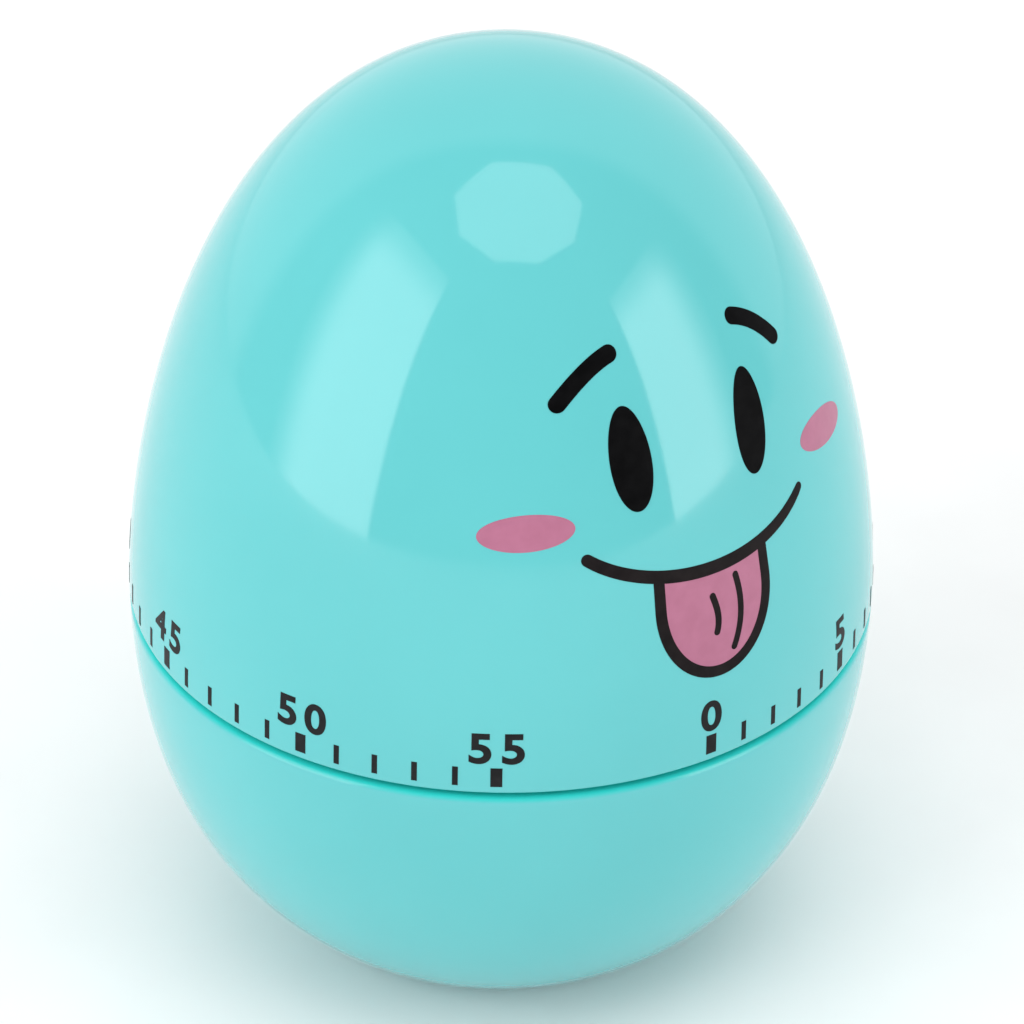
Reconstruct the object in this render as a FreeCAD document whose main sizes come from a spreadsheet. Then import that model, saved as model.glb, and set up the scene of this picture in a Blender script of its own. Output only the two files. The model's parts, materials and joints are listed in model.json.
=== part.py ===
import FreeCAD, Part
import math
import os

import Sketcher
from FreeCAD import Placement, Rotation, Vector

# A wind-up kitchen timer in the shape of an egg.
#
# The dome turns on the base, and a clockwork between two plates in the base
# counts the minutes and rings a bell. All lengths are in millimetres and all
# angles in degrees. The origin is the middle of the foot, +Z is up along the
# axis that the dome turns about, and -Y is the front.

SIZES = (
    # Shells
    ("egg_radius", 30.0, "Outer radius at the seam"),
    ("egg_height", 77.1, "Foot to crown"),
    ("seam_height", 31.0, "Middle of the seam above the foot"),
    ("seam_gap", 0.5, "Open height of the seam"),
    ("wall", 1.8, "Wall of both shells"),
    ("shoulder_rise", 12.3, "How far the dome's side runs upright, as a curve handle"),
    ("crown_reach", 24.1, "How far the crown runs level, as a curve handle"),
    ("inner_crown_reach", 22.6, "The same inside the dome"),
    ("belly_drop", 18.6, "How far the base's side runs upright, as a curve handle"),
    ("inner_belly_drop", 17.9, "The same inside the base"),
    ("heel_radius", 21.9, "Curve handle beside the foot"),
    ("heel_height", 3.8, "Height of that handle"),
    ("inner_heel_radius", 20.9, "The same inside the base"),
    ("inner_heel_height", 5.6, "Height of that handle"),
    ("foot_radius", 13.9, "Where the base's curve meets the foot"),
    ("foot_rounding", 0.8, "Rounding of the foot's outer edge"),
    ("foot_ring_radius", 11.8, "Inner edge of the ring that the timer stands on"),
    ("foot_recess", 0.5, "Depth of the recess inside that ring"),
    ("floor_radius", 13.4, "Flat floor inside the base"),
    ("floor_top", 2.3, "Top of the floor"),
    ("base_rim_rounding", 0.6, "Rounding of the base's upper edge"),
    ("dome_rim_rounding", 0.25, "Rounding of the dome's lower edge"),
    ("lip_inner_radius", 26.6, "Lip that the dome turns around"),
    ("lip_outer_radius", 27.8, "Its outer face"),
    ("lip_root", 26.5, "Where the lip's underside leaves the wall"),
    ("lip_top", 32.3, "Top of the lip"),
    ("lip_bite", 0.45, "How far the lip is sunk into the wall"),
    ("sound_hole", 1.1, "Radius of a sound hole"),
    ("inner_hole_ring", 6.8, "Ring of sound holes"),
    ("outer_hole_ring", 10.4, "Second ring of sound holes"),
    ("post_ring", 21.5, "Ring of the posts that carry the movement"),
    ("post_radius", 2.2, "One post"),
    ("post_angle", 45.0, "Direction of the first post"),
    ("post_bore", 0.95, "Pilot hole in a post"),
    ("post_bore_depth", 5.5, "Its depth"),
    ("boss_ring", 24.6, "Ring of the screw bosses in the dome"),
    ("boss_radius", 2.5, "One boss"),
    ("boss_angle", 90.0, "Direction of the first boss"),
    ("boss_bore", 0.95, "Pilot hole in a boss"),
    ("boss_bore_depth", 8.0, "Its depth"),
    # Movement frame
    ("lower_plate_bottom", 14.0, "Underside of the bottom plate"),
    ("upper_plate_bottom", 29.0, "Underside of the top plate"),
    ("plate_thickness", 1.0, "Both plates"),
    ("lower_plate_radius", 23.8, "Bottom plate"),
    ("upper_plate_radius", 24.2, "Top plate"),
    ("pillar_ring", 21.3, "Ring of the pillars"),
    ("pillar_radius", 1.75, "One pillar"),
    ("pillar_angle", 85.0, "Direction of the first pillar"),
    ("pillar_bore", 1.0, "Tapped hole in a pillar"),
    ("pillar_bore_depth", 5.0, "Its depth"),
    ("screw_head_radius", 1.7, "Head of every small screw"),
    ("screw_head_height", 1.2, "Its height"),
    ("slot_width", 0.5, "Driver slot in a screw head"),
    ("slot_depth", 0.5, "Its depth"),
    ("screw_clearance", 0.1, "A screw in its clearance hole"),
    # Shaft and drive
    ("shaft_radius", 2.5, "Main shaft between the plates"),
    ("shaft_pivot", 1.5, "Its lower pivot"),
    ("shaft_neck", 2.0, "Its upper bearing and drive end"),
    ("shaft_flat", 1.5, "Drive flat's distance from the axis"),
    ("shaft_top", 37.6, "Upper end of the shaft"),
    ("shaft_bottom", 13.3, "Lower end of the shaft"),
    ("flange_radius", 3.4, "Shaft flange under the main wheel"),
    ("flange_bottom", 21.4, "Its underside"),
    ("running_gap", 0.03, "Radial gap of every running fit"),
    ("press_gap", 0.01, "Radial gap of every pressed fit"),
    ("end_play", 0.1, "Room above and below a turning piece"),
    ("drive_bottom", 36.0, "Underside of the drive plate"),
    ("drive_thickness", 2.0, "Drive plate"),
    ("drive_radius", 27.0, "Drive plate"),
    ("hub_radius", 5.0, "Drive plate's hub"),
    ("hub_bottom", 33.0, "Its lower end"),
    ("window_ring", 14.5, "Round windows in the drive plate"),
    ("window_radius", 5.5, "One window"),
    ("clip_bottom", 30.8, "Underside of the shaft's circlip"),
    ("clip_thickness", 0.5, "Circlip"),
    ("clip_radius", 3.6, "Its outer radius"),
    ("clip_groove", 1.6, "Bottom of its groove"),
    ("clip_mouth", 1.28, "Half width of its opening"),
    # Bell
    ("bell_radius", 17.5, "Mouth of the bell"),
    ("bell_bottom", 4.4, "Crown of the bell, which hangs mouth up"),
    ("bell_mouth", 12.6, "Height of its mouth"),
    ("bell_wall", 0.8, "Bell metal"),
    ("bell_crown", 6.0, "Flat middle of the crown"),
    ("bell_shoulder", 13.38, "How far the crown runs level, as a curve handle"),
    ("bell_side", 7.68, "How far down the side runs upright, as a curve handle"),
    ("bell_inner_shoulder", 12.97, "How far the crown runs level inside"),
    ("bell_inner_side", 8.07, "How far down the side runs upright inside"),
    ("bell_bore", 1.5, "Hole in the crown"),
    ("bell_tap", 1.3, "Tapped hole in the post below it"),
    ("bell_washer_thickness", 0.4, "Washer between bell and screw"),
    ("bell_screw_head", 2.2, "Head of the bell's screw"),
    ("bell_post_radius", 3.0, "Post that holds the bell"),
    ("bell_flange_radius", 6.6, "Flange of the post"),
    ("pivot_relief", 1.9, "Relief in the flange around the shaft's pivot"),
    ("rivet_ring", 4.9, "Rivets through that flange"),
    ("rivet_radius", 0.6, "One rivet"),
    ("rivet_head", 1.1, "Its head"),
    ("rivet_head_height", 0.4, "Height of that head"),
    ("rivet_angle", 90.0, "Direction of the first rivet"),
    # Train
    ("second_angle", 0.0, "Direction from the main shaft to the second arbor"),
    ("third_angle", 90.0, "Direction from the second arbor to the third"),
    ("escape_angle", 160.0, "Direction from the third arbor to the escape arbor"),
    ("pallet_angle", 150.0, "Direction from the escape arbor to the pallet arbor"),
    ("hammer_angle", -28.0, "Direction from the third arbor to the hammer arbor"),
    ("pallet_distance", 7.1, "Escape arbor to pallet arbor"),
    ("hammer_distance", 8.9, "Third arbor to hammer arbor"),
    ("arbor_radius", 0.6, "Small arbors"),
    ("pivot_radius", 0.4, "Their pivots"),
    ("main_module", 0.4, "Teeth of main wheel and second pinion"),
    ("second_module", 0.3, "Teeth of second wheel and third pinion"),
    ("third_module", 0.3, "Teeth of third wheel and escape pinion"),
    ("leaves", 8.0, "Leaves of every pinion"),
    ("main_teeth", 56.0, "Main wheel"),
    ("second_teeth", 52.0, "Second wheel"),
    ("third_teeth", 48.0, "Third wheel"),
    ("escape_teeth", 15.0, "Escape wheel"),
    ("star_points", 8.0, "Star wheel"),
    ("ratchet_teeth", 16.0, "Ratchet wheel"),
    ("backlash", 0.06, "What each tooth is thinned by"),
    ("main_wheel_bottom", 22.0, "Main wheel"),
    ("main_wheel_thickness", 1.0, "Main wheel"),
    ("ratchet_bottom", 23.15, "Ratchet wheel and click"),
    ("ratchet_thickness", 0.9, "Ratchet wheel and click"),
    ("ratchet_radius", 4.6, "Tips of the ratchet"),
    ("ratchet_depth", 0.6, "Depth of its teeth"),
    ("ratchet_lead", 2.25, "Angle that a tooth leans over its root"),
    ("click_ring", 7.5, "Click's pivot on the main wheel"),
    ("click_tip_x", -3.52, "Click's tip from its pivot"),
    ("click_tip_y", -3.35, "Click's tip from its pivot"),
    ("click_half_width", 0.48, "Click's arm"),
    ("click_pin_head", 1.02, "Head of its pin"),
    ("click_pin_head_height", 0.27, "Top of that head above the click"),
    ("click_spring_x", 5.625, "Pin of the click's spring on the main wheel"),
    ("click_spring_y", -7.5, "Pin of the click's spring on the main wheel"),
    ("click_spring_end_x", -0.325, "Free end of that spring from its pin"),
    ("click_spring_end_y", 3.2, "Free end of that spring from its pin"),
    ("click_spring_hub", 0.96, "Eye of that spring"),
    ("click_spring_width", 0.72, "Width of its strip"),
    ("second_leaves_below", 0.2, "Second pinion's leaves below the main wheel's underside"),
    ("second_leaves_above", 1.5, "Second pinion's leaves above that underside"),
    ("leaves_below", 0.3, "Other pinions' leaves below their wheel's underside"),
    ("leaves_above", 1.2, "Other pinions' leaves above that underside"),
    ("second_wheel_bottom", 24.6, "Second wheel"),
    ("third_wheel_bottom", 26.6, "Third wheel"),
    ("wheel_thickness", 0.7, "Second and third wheel"),
    ("escape_wheel_bottom", 24.6, "Escape wheel"),
    ("escape_radius", 4.4, "Tips of the escape wheel"),
    ("escape_root", 3.432, "Roots of its teeth"),
    ("escape_lead", 11.0, "Angle from a root to its tip"),
    ("escape_land", 13.0, "Angle from a root to the far side of its tip"),
    ("star_bottom", 17.4, "Star wheel"),
    ("star_radius", 3.4, "Tips of the star wheel"),
    ("star_root", 2.21, "Roots between its points"),
    ("star_root_angle", 22.0, "Angle from a point's middle to its root"),
    ("star_tip_angle", 4.0, "Half the angle of its blunt tip"),
    ("lever_thickness", 0.8, "Levers and arms"),
    ("lever_half_width", 0.6, "Levers"),
    ("lever_hub", 1.4, "Hub of a lever"),
    ("lever_gap", 0.3, "Height between a wheel and the lever over it"),
    ("pallet_pin_x", 3.79, "Pallet pins from the pallet arbor"),
    ("pallet_pin_y", 3.95, "Pallet pins to either side"),
    ("pallet_pin_radius", 0.3, "One pallet pin"),
    ("balance_reach", 4.0, "Half length of the bar that slows the pallet"),
    ("balance_half_width", 0.8, "That bar"),
    ("balance_bottom", 19.3, "Its underside"),
    ("spring_bottom", 15.8, "Mainspring"),
    ("spring_height", 5.5, "Width of its strip"),
    ("spring_strip", 0.35, "Thickness of its strip"),
    ("spring_start", 2.95, "Radius of its first half turn"),
    ("spring_pitch", 1.05, "Growth in a turn"),
    ("spring_half_turns", 17.0, "Half turns of the strip"),
    ("spring_post_ring", 12.8, "Post beside its outer end"),
    ("spring_post", 0.7, "Radius of that post"),
    ("cam_bottom", 26.8, "Release cam and lever"),
    ("cam_thickness", 1.0, "Release cam and lever"),
    ("cam_radius", 6.0, "Release cam"),
    ("cam_notch", 1.2, "Half width and depth of its notch"),
    ("cam_notch_floor", 0.4, "Half width of the notch's floor"),
    ("release_distance", 14.5, "Main shaft to release lever"),
    ("release_angle", -41.0, "Direction from the main shaft to the release lever"),
    ("release_pin", 0.8, "Pin of the release lever"),
    ("release_hub", 1.8, "Its hub"),
    ("release_nose_x", -7.61, "Nose over the cam, from the pin"),
    ("release_nose_y", 3.58, "Nose over the cam, from the pin"),
    ("release_tail_x", 7.0, "Tail at the hammer's detent, from the pin"),
    ("release_tail_y", 8.0, "Tail at the hammer's detent, from the pin"),
    ("hammer_head_ring", 19.6, "Hammer head from the main shaft"),
    ("hammer_head_angle", -18.0, "Its direction"),
    ("hammer_head_radius", 1.5, "Hammer head"),
    ("hammer_shank", 0.54, "Riveted shank of the hammer head"),
    ("hammer_arm_bottom", 12.9, "Underside of the hammer's arm"),
    ("hammer_arm_half_width", 0.8, "Hammer's arm"),
    ("anchor_pin_radius", 0.35, "Pins that the star wheel knocks"),
    ("anchor_left_x", 6.49, "One pin, from the hammer's arbor"),
    ("anchor_left_y", 3.44, "One pin, from the hammer's arbor"),
    ("anchor_right_x", 6.18, "Other pin, from the hammer's arbor"),
    ("anchor_right_y", -3.89, "Other pin, from the hammer's arbor"),
    ("detent_tip_x", -1.6, "Detent's tip from the hammer's arbor"),
    ("detent_tip_y", -4.4, "Detent's tip from the hammer's arbor"),
    ("detent_half_width", 0.5, "Detent"),
    ("detent_hub", 1.19, "Its hub"),
)

TINY = 1e-9
FULL_TURN = 360.0
HALF_TURN = 180.0
POSTS, BOSSES, PILLARS, RIVETS = 3, 3, 3, 2
INNER_SOUND_HOLES, OUTER_SOUND_HOLES = 8, 12

# Teeth: heights are multiples of the module.
PRESSURE_ANGLE = math.radians(20.0)
WHEEL_ADDENDUM, WHEEL_DEDENDUM = 0.5, 1.25
LEAF_ADDENDUM, LEAF_DEDENDUM = 1.0, 0.8
FLANK_POINTS = 3


class Size:
    """A number together with the spreadsheet expression that gives it."""

    def __init__(self, value, text):
        self.value = value
        self.text = text

    def combined(self, other, sign, value):
        return Size(value, f"({self.text} {sign} {other.text})")

    def __add__(self, other):
        other = sized(other)
        return self.combined(other, "+", self.value + other.value)

    def __sub__(self, other):
        other = sized(other)
        return self.combined(other, "-", self.value - other.value)

    def __mul__(self, other):
        other = sized(other)
        return self.combined(other, "*", self.value * other.value)

    def __truediv__(self, other):
        other = sized(other)
        return self.combined(other, "/", self.value / other.value)

    def __neg__(self):
        return sized(0.0) - self


def sized(number):
    """A Size for a plain number, and a Size as it is."""
    return number if isinstance(number, Size) else Size(float(number), f"({float(number)})")


def east(distance, angle):
    """The X reach of a distance in a direction."""
    distance, angle = sized(distance), sized(angle)
    value = distance.value * math.cos(math.radians(angle.value))
    return Size(value, f"({distance.text} * cos({angle.text} * 1 deg))")


def north(distance, angle):
    """The Y reach of a distance in a direction."""
    distance, angle = sized(distance), sized(angle)
    value = distance.value * math.sin(math.radians(angle.value))
    return Size(value, f"({distance.text} * sin({angle.text} * 1 deg))")


# ---------------------------------------------------------------- the sheet

doc = FreeCAD.newDocument("EggTimer")
sheet = doc.addObject("Spreadsheet::Sheet", "Sizes")
for row, (alias, number, meaning) in enumerate(SIZES, start=1):
    sheet.set(f"A{row}", meaning)
    sheet.set(f"B{row}", str(number))
    sheet.setAlias(f"B{row}", alias)
doc.recompute()
size = {alias: Size(number, f"Sizes.{alias}") for alias, number, meaning in SIZES}

nodes = []


# ---------------------------------------------------------------- sketching


def plane_of(body, role):
    """One of a body's own origin planes."""
    return next(item for item in body.Origin.OriginFeatures if item.Role == role)


def new_body(label):
    """A body that is one sub-part."""
    body = doc.addObject("PartDesign::Body", label)
    body.Label = label
    nodes.append(body)
    return body


def level_sketch(body, height):
    """A sketch that lies flat at a height."""
    sketch = body.newObject("Sketcher::SketchObject", "Level")
    sketch.AttachmentSupport = [(plane_of(body, "XY_Plane"), "")]
    sketch.MapMode = "FlatFace"
    sketch.setExpression("AttachmentOffset.Base.z", sized(height).text)
    return sketch


def upright_sketch(body):
    """A sketch of radius against height."""
    sketch = body.newObject("Sketcher::SketchObject", "Upright")
    sketch.AttachmentSupport = [(plane_of(body, "XZ_Plane"), "")]
    sketch.MapMode = "FlatFace"
    return sketch


def constrain(sketch, size_, kind, *where):
    """Adds a constraint whose value follows the sheet."""
    index = sketch.addConstraint(Sketcher.Constraint(kind, *where, size_.value))
    sketch.setExpression(f"Constraints[{index}]", size_.text)


def fix(sketch, geometry, point, corner):
    """Holds a point of a sketch at a corner's place."""
    for kind, axis, reach in zip(("DistanceX", "DistanceY"), (-2, -1), corner):
        reach = sized(reach)
        if abs(reach.value) < TINY:
            sketch.addConstraint(Sketcher.Constraint("PointOnObject", geometry, point, axis))
        else:
            constrain(sketch, reach, kind, -1, 1, geometry, point)


def point_of(corner):
    """A corner as a point of the sketch plane."""
    return Vector(sized(corner[0]).value, sized(corner[1]).value, 0)


def closed_outline(sketch, steps):
    """Draws a closed outline.

    Each step is the corner that a straight line runs to, or two curve handles
    and the corner that a curve runs to. The outline starts at the last corner.
    """
    start = steps[-1][-1]
    edges = []
    for step in steps:
        ends = [start, *step]
        if len(step) == 1:
            edge = sketch.addGeometry(Part.LineSegment(*map(point_of, ends)), False)
        else:
            curve = Part.BSplineCurve()
            curve.buildFromPolesMultsKnots(list(map(point_of, ends)), [4, 4], [0, 1], False, 3)
            edge = sketch.addGeometry(curve, False)
            sketch.exposeInternalGeometry(edge)
            for handle, corner in enumerate(step[:-1], start=2):
                fix(sketch, edge + handle, 3, corner)
        edges.append(edge)
        start = step[-1]
    for edge, following, step in zip(edges, edges[1:] + edges[:1], steps):
        sketch.addConstraint(Sketcher.Constraint("Coincident", edge, 2, following, 1))
        fix(sketch, following, 1, step[-1])


def polygon(sketch, corners):
    """Draws straight lines round the corners."""
    closed_outline(sketch, [[corner] for corner in corners])


def circle(sketch, corner, radius):
    """Draws a circle about a corner."""
    radius = sized(radius)
    edge = sketch.addGeometry(Part.Circle(point_of(corner), Vector(0, 0, 1), radius.value), False)
    fix(sketch, edge, 3, corner)
    constrain(sketch, radius, "Radius", edge)


def round_bar(sketch, start, end, radius):
    """Draws a bar with round ends between two corners."""
    radius = sized(radius)
    first, last = point_of(start), point_of(end)
    heading = math.atan2(last.y - first.y, last.x - first.x)
    quarter = math.pi / 2
    side = Vector(-math.sin(heading), math.cos(heading), 0) * radius.value
    up = Vector(0, 0, 1)
    start_circle, end_circle = (Part.Circle(centre, up, radius.value) for centre in (first, last))
    near = Part.ArcOfCircle(start_circle, heading + quarter, heading + 3 * quarter)
    far = Part.ArcOfCircle(end_circle, heading - quarter, heading + quarter)
    near = sketch.addGeometry(near, False)
    far = sketch.addGeometry(far, False)
    left = sketch.addGeometry(Part.LineSegment(first + side, last + side), False)
    right = sketch.addGeometry(Part.LineSegment(first - side, last - side), False)
    for arc, arc_end, line, line_end in ((near, 1, left, 1), (near, 2, right, 1),
                                         (far, 2, left, 2), (far, 1, right, 2)):
        sketch.addConstraint(Sketcher.Constraint("Tangent", arc, arc_end, line, line_end))
    sketch.addConstraint(Sketcher.Constraint("Equal", near, far))
    constrain(sketch, radius, "Radius", near)
    fix(sketch, near, 3, start)
    fix(sketch, far, 3, end)


def stepped(steps, bottom, bore=0.0):
    """The half outline of a turned piece, from steps of a radius and its top."""
    corners = [(bore, bottom)]
    height = bottom
    for radius, top in steps:
        corners += [(radius, height), (radius, top)]
        height = top
    return corners + [(bore, height)]


# ---------------------------------------------------------------- features


def add_feature(body, kind, sketch):
    """A feature of a body, drawn by a sketch."""
    feature = body.newObject(kind, kind.split("::")[1])
    feature.Profile = (sketch, [""])
    return feature


def check_cut(body, feature, volume):
    """Makes sure that a cut took something away."""
    doc.recompute()
    if not feature.Shape.Volume < volume - TINY:
        raise RuntimeError(f"{body.Label}: {feature.Name} cuts nothing")


def pad(body, sketch, length, downward=False):
    """Raises a sketch to a solid."""
    feature = add_feature(body, "PartDesign::Pad", sketch)
    feature.Reversed = downward
    feature.setExpression("Length", sized(length).text)
    return feature


def pad_to_wall(body, sketch, downward):
    """Raises a sketch until it meets the wall of its shell."""
    feature = add_feature(body, "PartDesign::Pad", sketch)
    feature.Reversed = downward
    feature.Type = "UpToFirst"
    doc.recompute()
    return feature


def pocket(body, sketch, depth, upward=False):
    """Cuts a sketch into the solid."""
    doc.recompute()
    volume = body.Shape.Volume
    feature = add_feature(body, "PartDesign::Pocket", sketch)
    feature.Reversed = upward
    feature.setExpression("Length", sized(depth).text)
    check_cut(body, feature, volume)
    return feature


def revolve(body, sketch, axis="V_Axis", cut=False):
    """Turns a sketch about an axis of its own."""
    doc.recompute()
    volume = body.Shape.Volume if cut else 0.0
    feature = add_feature(body, "PartDesign::Groove" if cut else "PartDesign::Revolution", sketch)
    feature.ReferenceAxis = (sketch, [axis])
    feature.Angle = FULL_TURN
    if cut:
        check_cut(body, feature, volume)
    return feature


def repeat(body, features, sketch, axis, count):
    """Repeats features round the Z axis."""
    doc.recompute()
    pattern = body.newObject("PartDesign::PolarPattern", "Pattern")
    pattern.Originals = features
    pattern.Axis = (sketch, [axis])
    pattern.Angle = FULL_TURN
    pattern.Occurrences = count
    body.Tip = pattern
    doc.recompute()
    return pattern


def round_edges(body, radius, height, edge_radius):
    """Rounds the circular edge at a height and radius."""
    doc.recompute()
    base = body.Tip
    names = []
    for number, edge in enumerate(base.Shape.Edges, start=1):
        spot = edge.valueAt(edge.FirstParameter)
        level = abs(spot.z - height.value) < TINY
        if level and abs(math.hypot(spot.x, spot.y) - edge_radius.value) < TINY:
            names.append(f"Edge{number}")
    fillet = body.newObject("PartDesign::Fillet", "Rounding")
    fillet.Base = (base, names)
    fillet.setExpression("Radius", radius.text)
    doc.recompute()


def place(item, x=0.0, y=0.0, turn=0.0, z=0.0):
    """Stands a sub-part at x, y, z and turns it about Z."""
    x, y, turn, z = map(sized, (x, y, turn, z))
    rotation = Rotation(Vector(0, 0, 1), turn.value)
    item.Placement = Placement(Vector(x.value, y.value, z.value), rotation)
    item.setExpression("Placement.Base.x", x.text)
    item.setExpression("Placement.Base.y", y.text)
    item.setExpression("Placement.Base.z", z.text)
    if abs(turn.value) > TINY:
        item.setExpression("Placement.Rotation.Angle", turn.text)


def turned(label, steps, bottom, bore=0.0, x=0.0, y=0.0):
    """A turned piece that stands at x, y."""
    body = new_body(label)
    sketch = upright_sketch(body)
    polygon(sketch, stepped(steps, bottom, bore))
    revolve(body, sketch)
    place(body, x, y)
    return body


def plate(label, radius, bottom, thickness, holes):
    """A round plate with holes, each a corner and a radius."""
    body = new_body(label)
    sketch = level_sketch(body, bottom)
    circle(sketch, (0, 0), radius)
    for corner, hole_radius in holes:
        circle(sketch, corner, hole_radius)
    pad(body, sketch, thickness)
    return body


def ring_of(count, ring, angle):
    """Corners spaced evenly round a ring."""
    angles = [angle + FULL_TURN / count * i for i in range(count)]
    return [(east(ring, direction), north(ring, direction)) for direction in angles]


def off_axis_revolve(body, ring, corners, cut=False):
    """A turned solid whose own axis stands on a ring."""
    sketch = upright_sketch(body)
    polygon(sketch, [(ring + radius, height) for radius, height in corners])
    lowest, highest = (Vector(ring.value, height, 0) for height in (0, 1))
    axis = sketch.addGeometry(Part.LineSegment(lowest, highest), True)
    fix(sketch, axis, 1, (ring, 0))
    fix(sketch, axis, 2, (ring, 1))
    return revolve(body, sketch, "Axis0", cut), sketch


def ring_group(label, count, ring, angle, steps, bottom, bores=()):
    """Equal turned pieces on a ring, with blind bores, as one node."""
    body = new_body(label)
    solid, sketch = off_axis_revolve(body, ring, stepped(steps, bottom))
    features = [solid]
    for radius, low, high in bores:
        features.append(off_axis_revolve(body, ring, stepped([(radius, high)], low), True)[0])
    repeat(body, features, sketch, "V_Axis", count)
    place(body, turn=angle)
    return body


def screws(label, count, ring, angle, shank, tip, seat, head_up=True):
    """Slotted screws on a ring. The head stands on its seat, above or below it."""
    body = new_body(label)
    head, height = size["screw_head_radius"], size["screw_head_height"]
    if head_up:
        corners = stepped([(shank, seat), (head, seat + height)], tip)
    else:
        corners = stepped([(head, seat), (shank, tip)], seat - height)
    solid, ring_sketch = off_axis_revolve(body, ring, corners)
    sketch = level_sketch(body, seat + height if head_up else seat - height)
    half, reach = size["slot_width"] / 2, head + size["slot_width"]
    left, right = ring - half, ring + half
    polygon(sketch, [(left, -reach), (right, -reach), (right, reach), (left, reach)])
    slot = pocket(body, sketch, size["slot_depth"], upward=not head_up)
    repeat(body, [solid, slot], ring_sketch, "V_Axis", count)
    place(body, turn=angle)
    return body


def lever(label, arms, half_width, bottom, thickness, hub, bore, x, y, turn=0.0, pins=()):
    """A lever about x, y: arms with round ends, a bored hub and hanging pins."""
    body = new_body(label)
    for end in arms:
        sketch = level_sketch(body, bottom)
        round_bar(sketch, (0, 0), end, half_width)
        pad(body, sketch, thickness)
    sketch = level_sketch(body, bottom)
    circle(sketch, (0, 0), hub)
    pad(body, sketch, thickness)
    for corner, radius, reach in pins:
        sketch = level_sketch(body, bottom)
        circle(sketch, corner, radius)
        pad(body, sketch, reach, downward=True)
    sketch = level_sketch(body, bottom)
    circle(sketch, (0, 0), bore)
    pocket(body, sketch, thickness, upward=True)
    place(body, x, y, turn)
    return body


# ---------------------------------------------------------------- teeth


def involute(angle):
    return math.tan(angle) - angle


def gear_tooth(module, teeth, addendum, dedendum):
    """Half the outline of an involute tooth, as radius and angle from its middle."""
    pitch = module * teeth / 2
    base = pitch * math.cos(PRESSURE_ANGLE)
    tip, root = pitch + addendum * module, pitch - dedendum * module
    half = (math.pi * module / 2 - size["backlash"].value) / (2 * pitch) + involute(PRESSURE_ANGLE)
    start = max(base, root)
    flank = [(root, half - involute(math.acos(base / start)))] if root < base else []
    for i in range(FLANK_POINTS):
        radius = start + (tip - start) * i / (FLANK_POINTS - 1)
        flank.append((radius, half - involute(math.acos(base / radius))))
    return flank


def toothed_face(tooth, count, tooth_angle, bore, symmetric=True):
    """A face with teeth round it, one of them pointing at tooth_angle."""
    outline = list(tooth)
    if symmetric:
        outline = [(radius, -angle) for radius, angle in tooth] + outline[::-1]
    corners = []
    for i in range(count):
        middle = math.radians(tooth_angle) + 2 * math.pi * i / count
        for radius, angle in outline:
            direction = middle + angle
            corners.append(Vector(radius * math.cos(direction), radius * math.sin(direction), 0))
    rim = Part.makePolygon(corners + corners[:1])
    if bore < TINY:
        return Part.Face(rim)
    hole = Part.Wire(Part.makeCircle(bore))
    return Part.Face([rim, hole], "Part::FaceMakerBullseye")


def toothed_wheel(label, face, bottom, thickness, x=0.0, y=0.0, piercing=()):
    """A wheel cut from a toothed face, with round holes through it."""
    solid = face.extrude(Vector(0, 0, sized(thickness).value))
    for corner, radius in piercing:
        hole = Part.makeCylinder(radius.value, sized(thickness).value, point_of(corner))
        solid = solid.cut(hole)
    wheel = doc.addObject("Part::Feature", label)
    wheel.Label = label
    wheel.Shape = solid
    place(wheel, x, y, z=bottom)
    nodes.append(wheel)
    return wheel


def rod(name, radius, bottom, top):
    """A cylinder between two heights."""
    cylinder = doc.addObject("Part::Cylinder", name)
    cylinder.setExpression("Radius", radius.text)
    cylinder.setExpression("Height", (top - bottom).text)
    cylinder.setExpression("Placement.Base.z", bottom.text)
    return cylinder


def arbor_rods(label, bottom_end=None):
    """The arbor between the plates and its two pivots."""
    low = size["lower_plate_bottom"] + size["plate_thickness"] + size["end_play"]
    high = size["upper_plate_bottom"] - size["end_play"]
    upper = rod(f"{label}_upper_pivot", size["pivot_radius"], high, high + size["plate_thickness"])
    if bottom_end is not None:
        return [rod(f"{label}_rod", size["arbor_radius"], bottom_end, high), upper]
    lower = rod(f"{label}_lower_pivot", size["pivot_radius"], low - size["plate_thickness"], low)
    return [rod(f"{label}_rod", size["arbor_radius"], low, high), lower, upper]


def arbor(label, x, y, leaves=None, bottom_end=None):
    """An arbor that stands at x, y, with pinion leaves cut on it if it has any."""
    pieces = arbor_rods(label, bottom_end)
    if leaves:
        module, tooth_angle, bottom, top = leaves
        count = size["leaves"].value
        tooth = gear_tooth(module.value, count, LEAF_ADDENDUM, LEAF_DEDENDUM)
        face = toothed_face(tooth, int(count), tooth_angle, 0.0)
        cut = doc.addObject("Part::Feature", f"{label}_leaves")
        cut.Shape = face.extrude(Vector(0, 0, top.value - bottom.value))
        cut.Placement = Placement(Vector(0, 0, bottom.value), Rotation())
        pieces.append(cut)
    fused = doc.addObject("Part::MultiFuse", label)
    fused.Label = label
    fused.Shapes = pieces
    place(fused, x, y)
    nodes.append(fused)
    return fused


# ---------------------------------------------------------------- places

seam_half = size["seam_gap"] / 2
base_rim = size["seam_height"] - seam_half
dome_rim = size["seam_height"] + seam_half
inner_radius = size["egg_radius"] - size["wall"]
lower_plate_top = size["lower_plate_bottom"] + size["plate_thickness"]
upper_plate_top = size["upper_plate_bottom"] + size["plate_thickness"]
drive_top = size["drive_bottom"] + size["drive_thickness"]

main_distance = size["main_module"] * (size["main_teeth"] + size["leaves"]) / 2
second_distance = size["second_module"] * (size["second_teeth"] + size["leaves"]) / 2
third_distance = size["third_module"] * (size["third_teeth"] + size["leaves"]) / 2


def beyond(start, distance, angle):
    """The corner at a distance and direction from another."""
    return (start[0] + east(distance, angle), start[1] + north(distance, angle))


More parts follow.
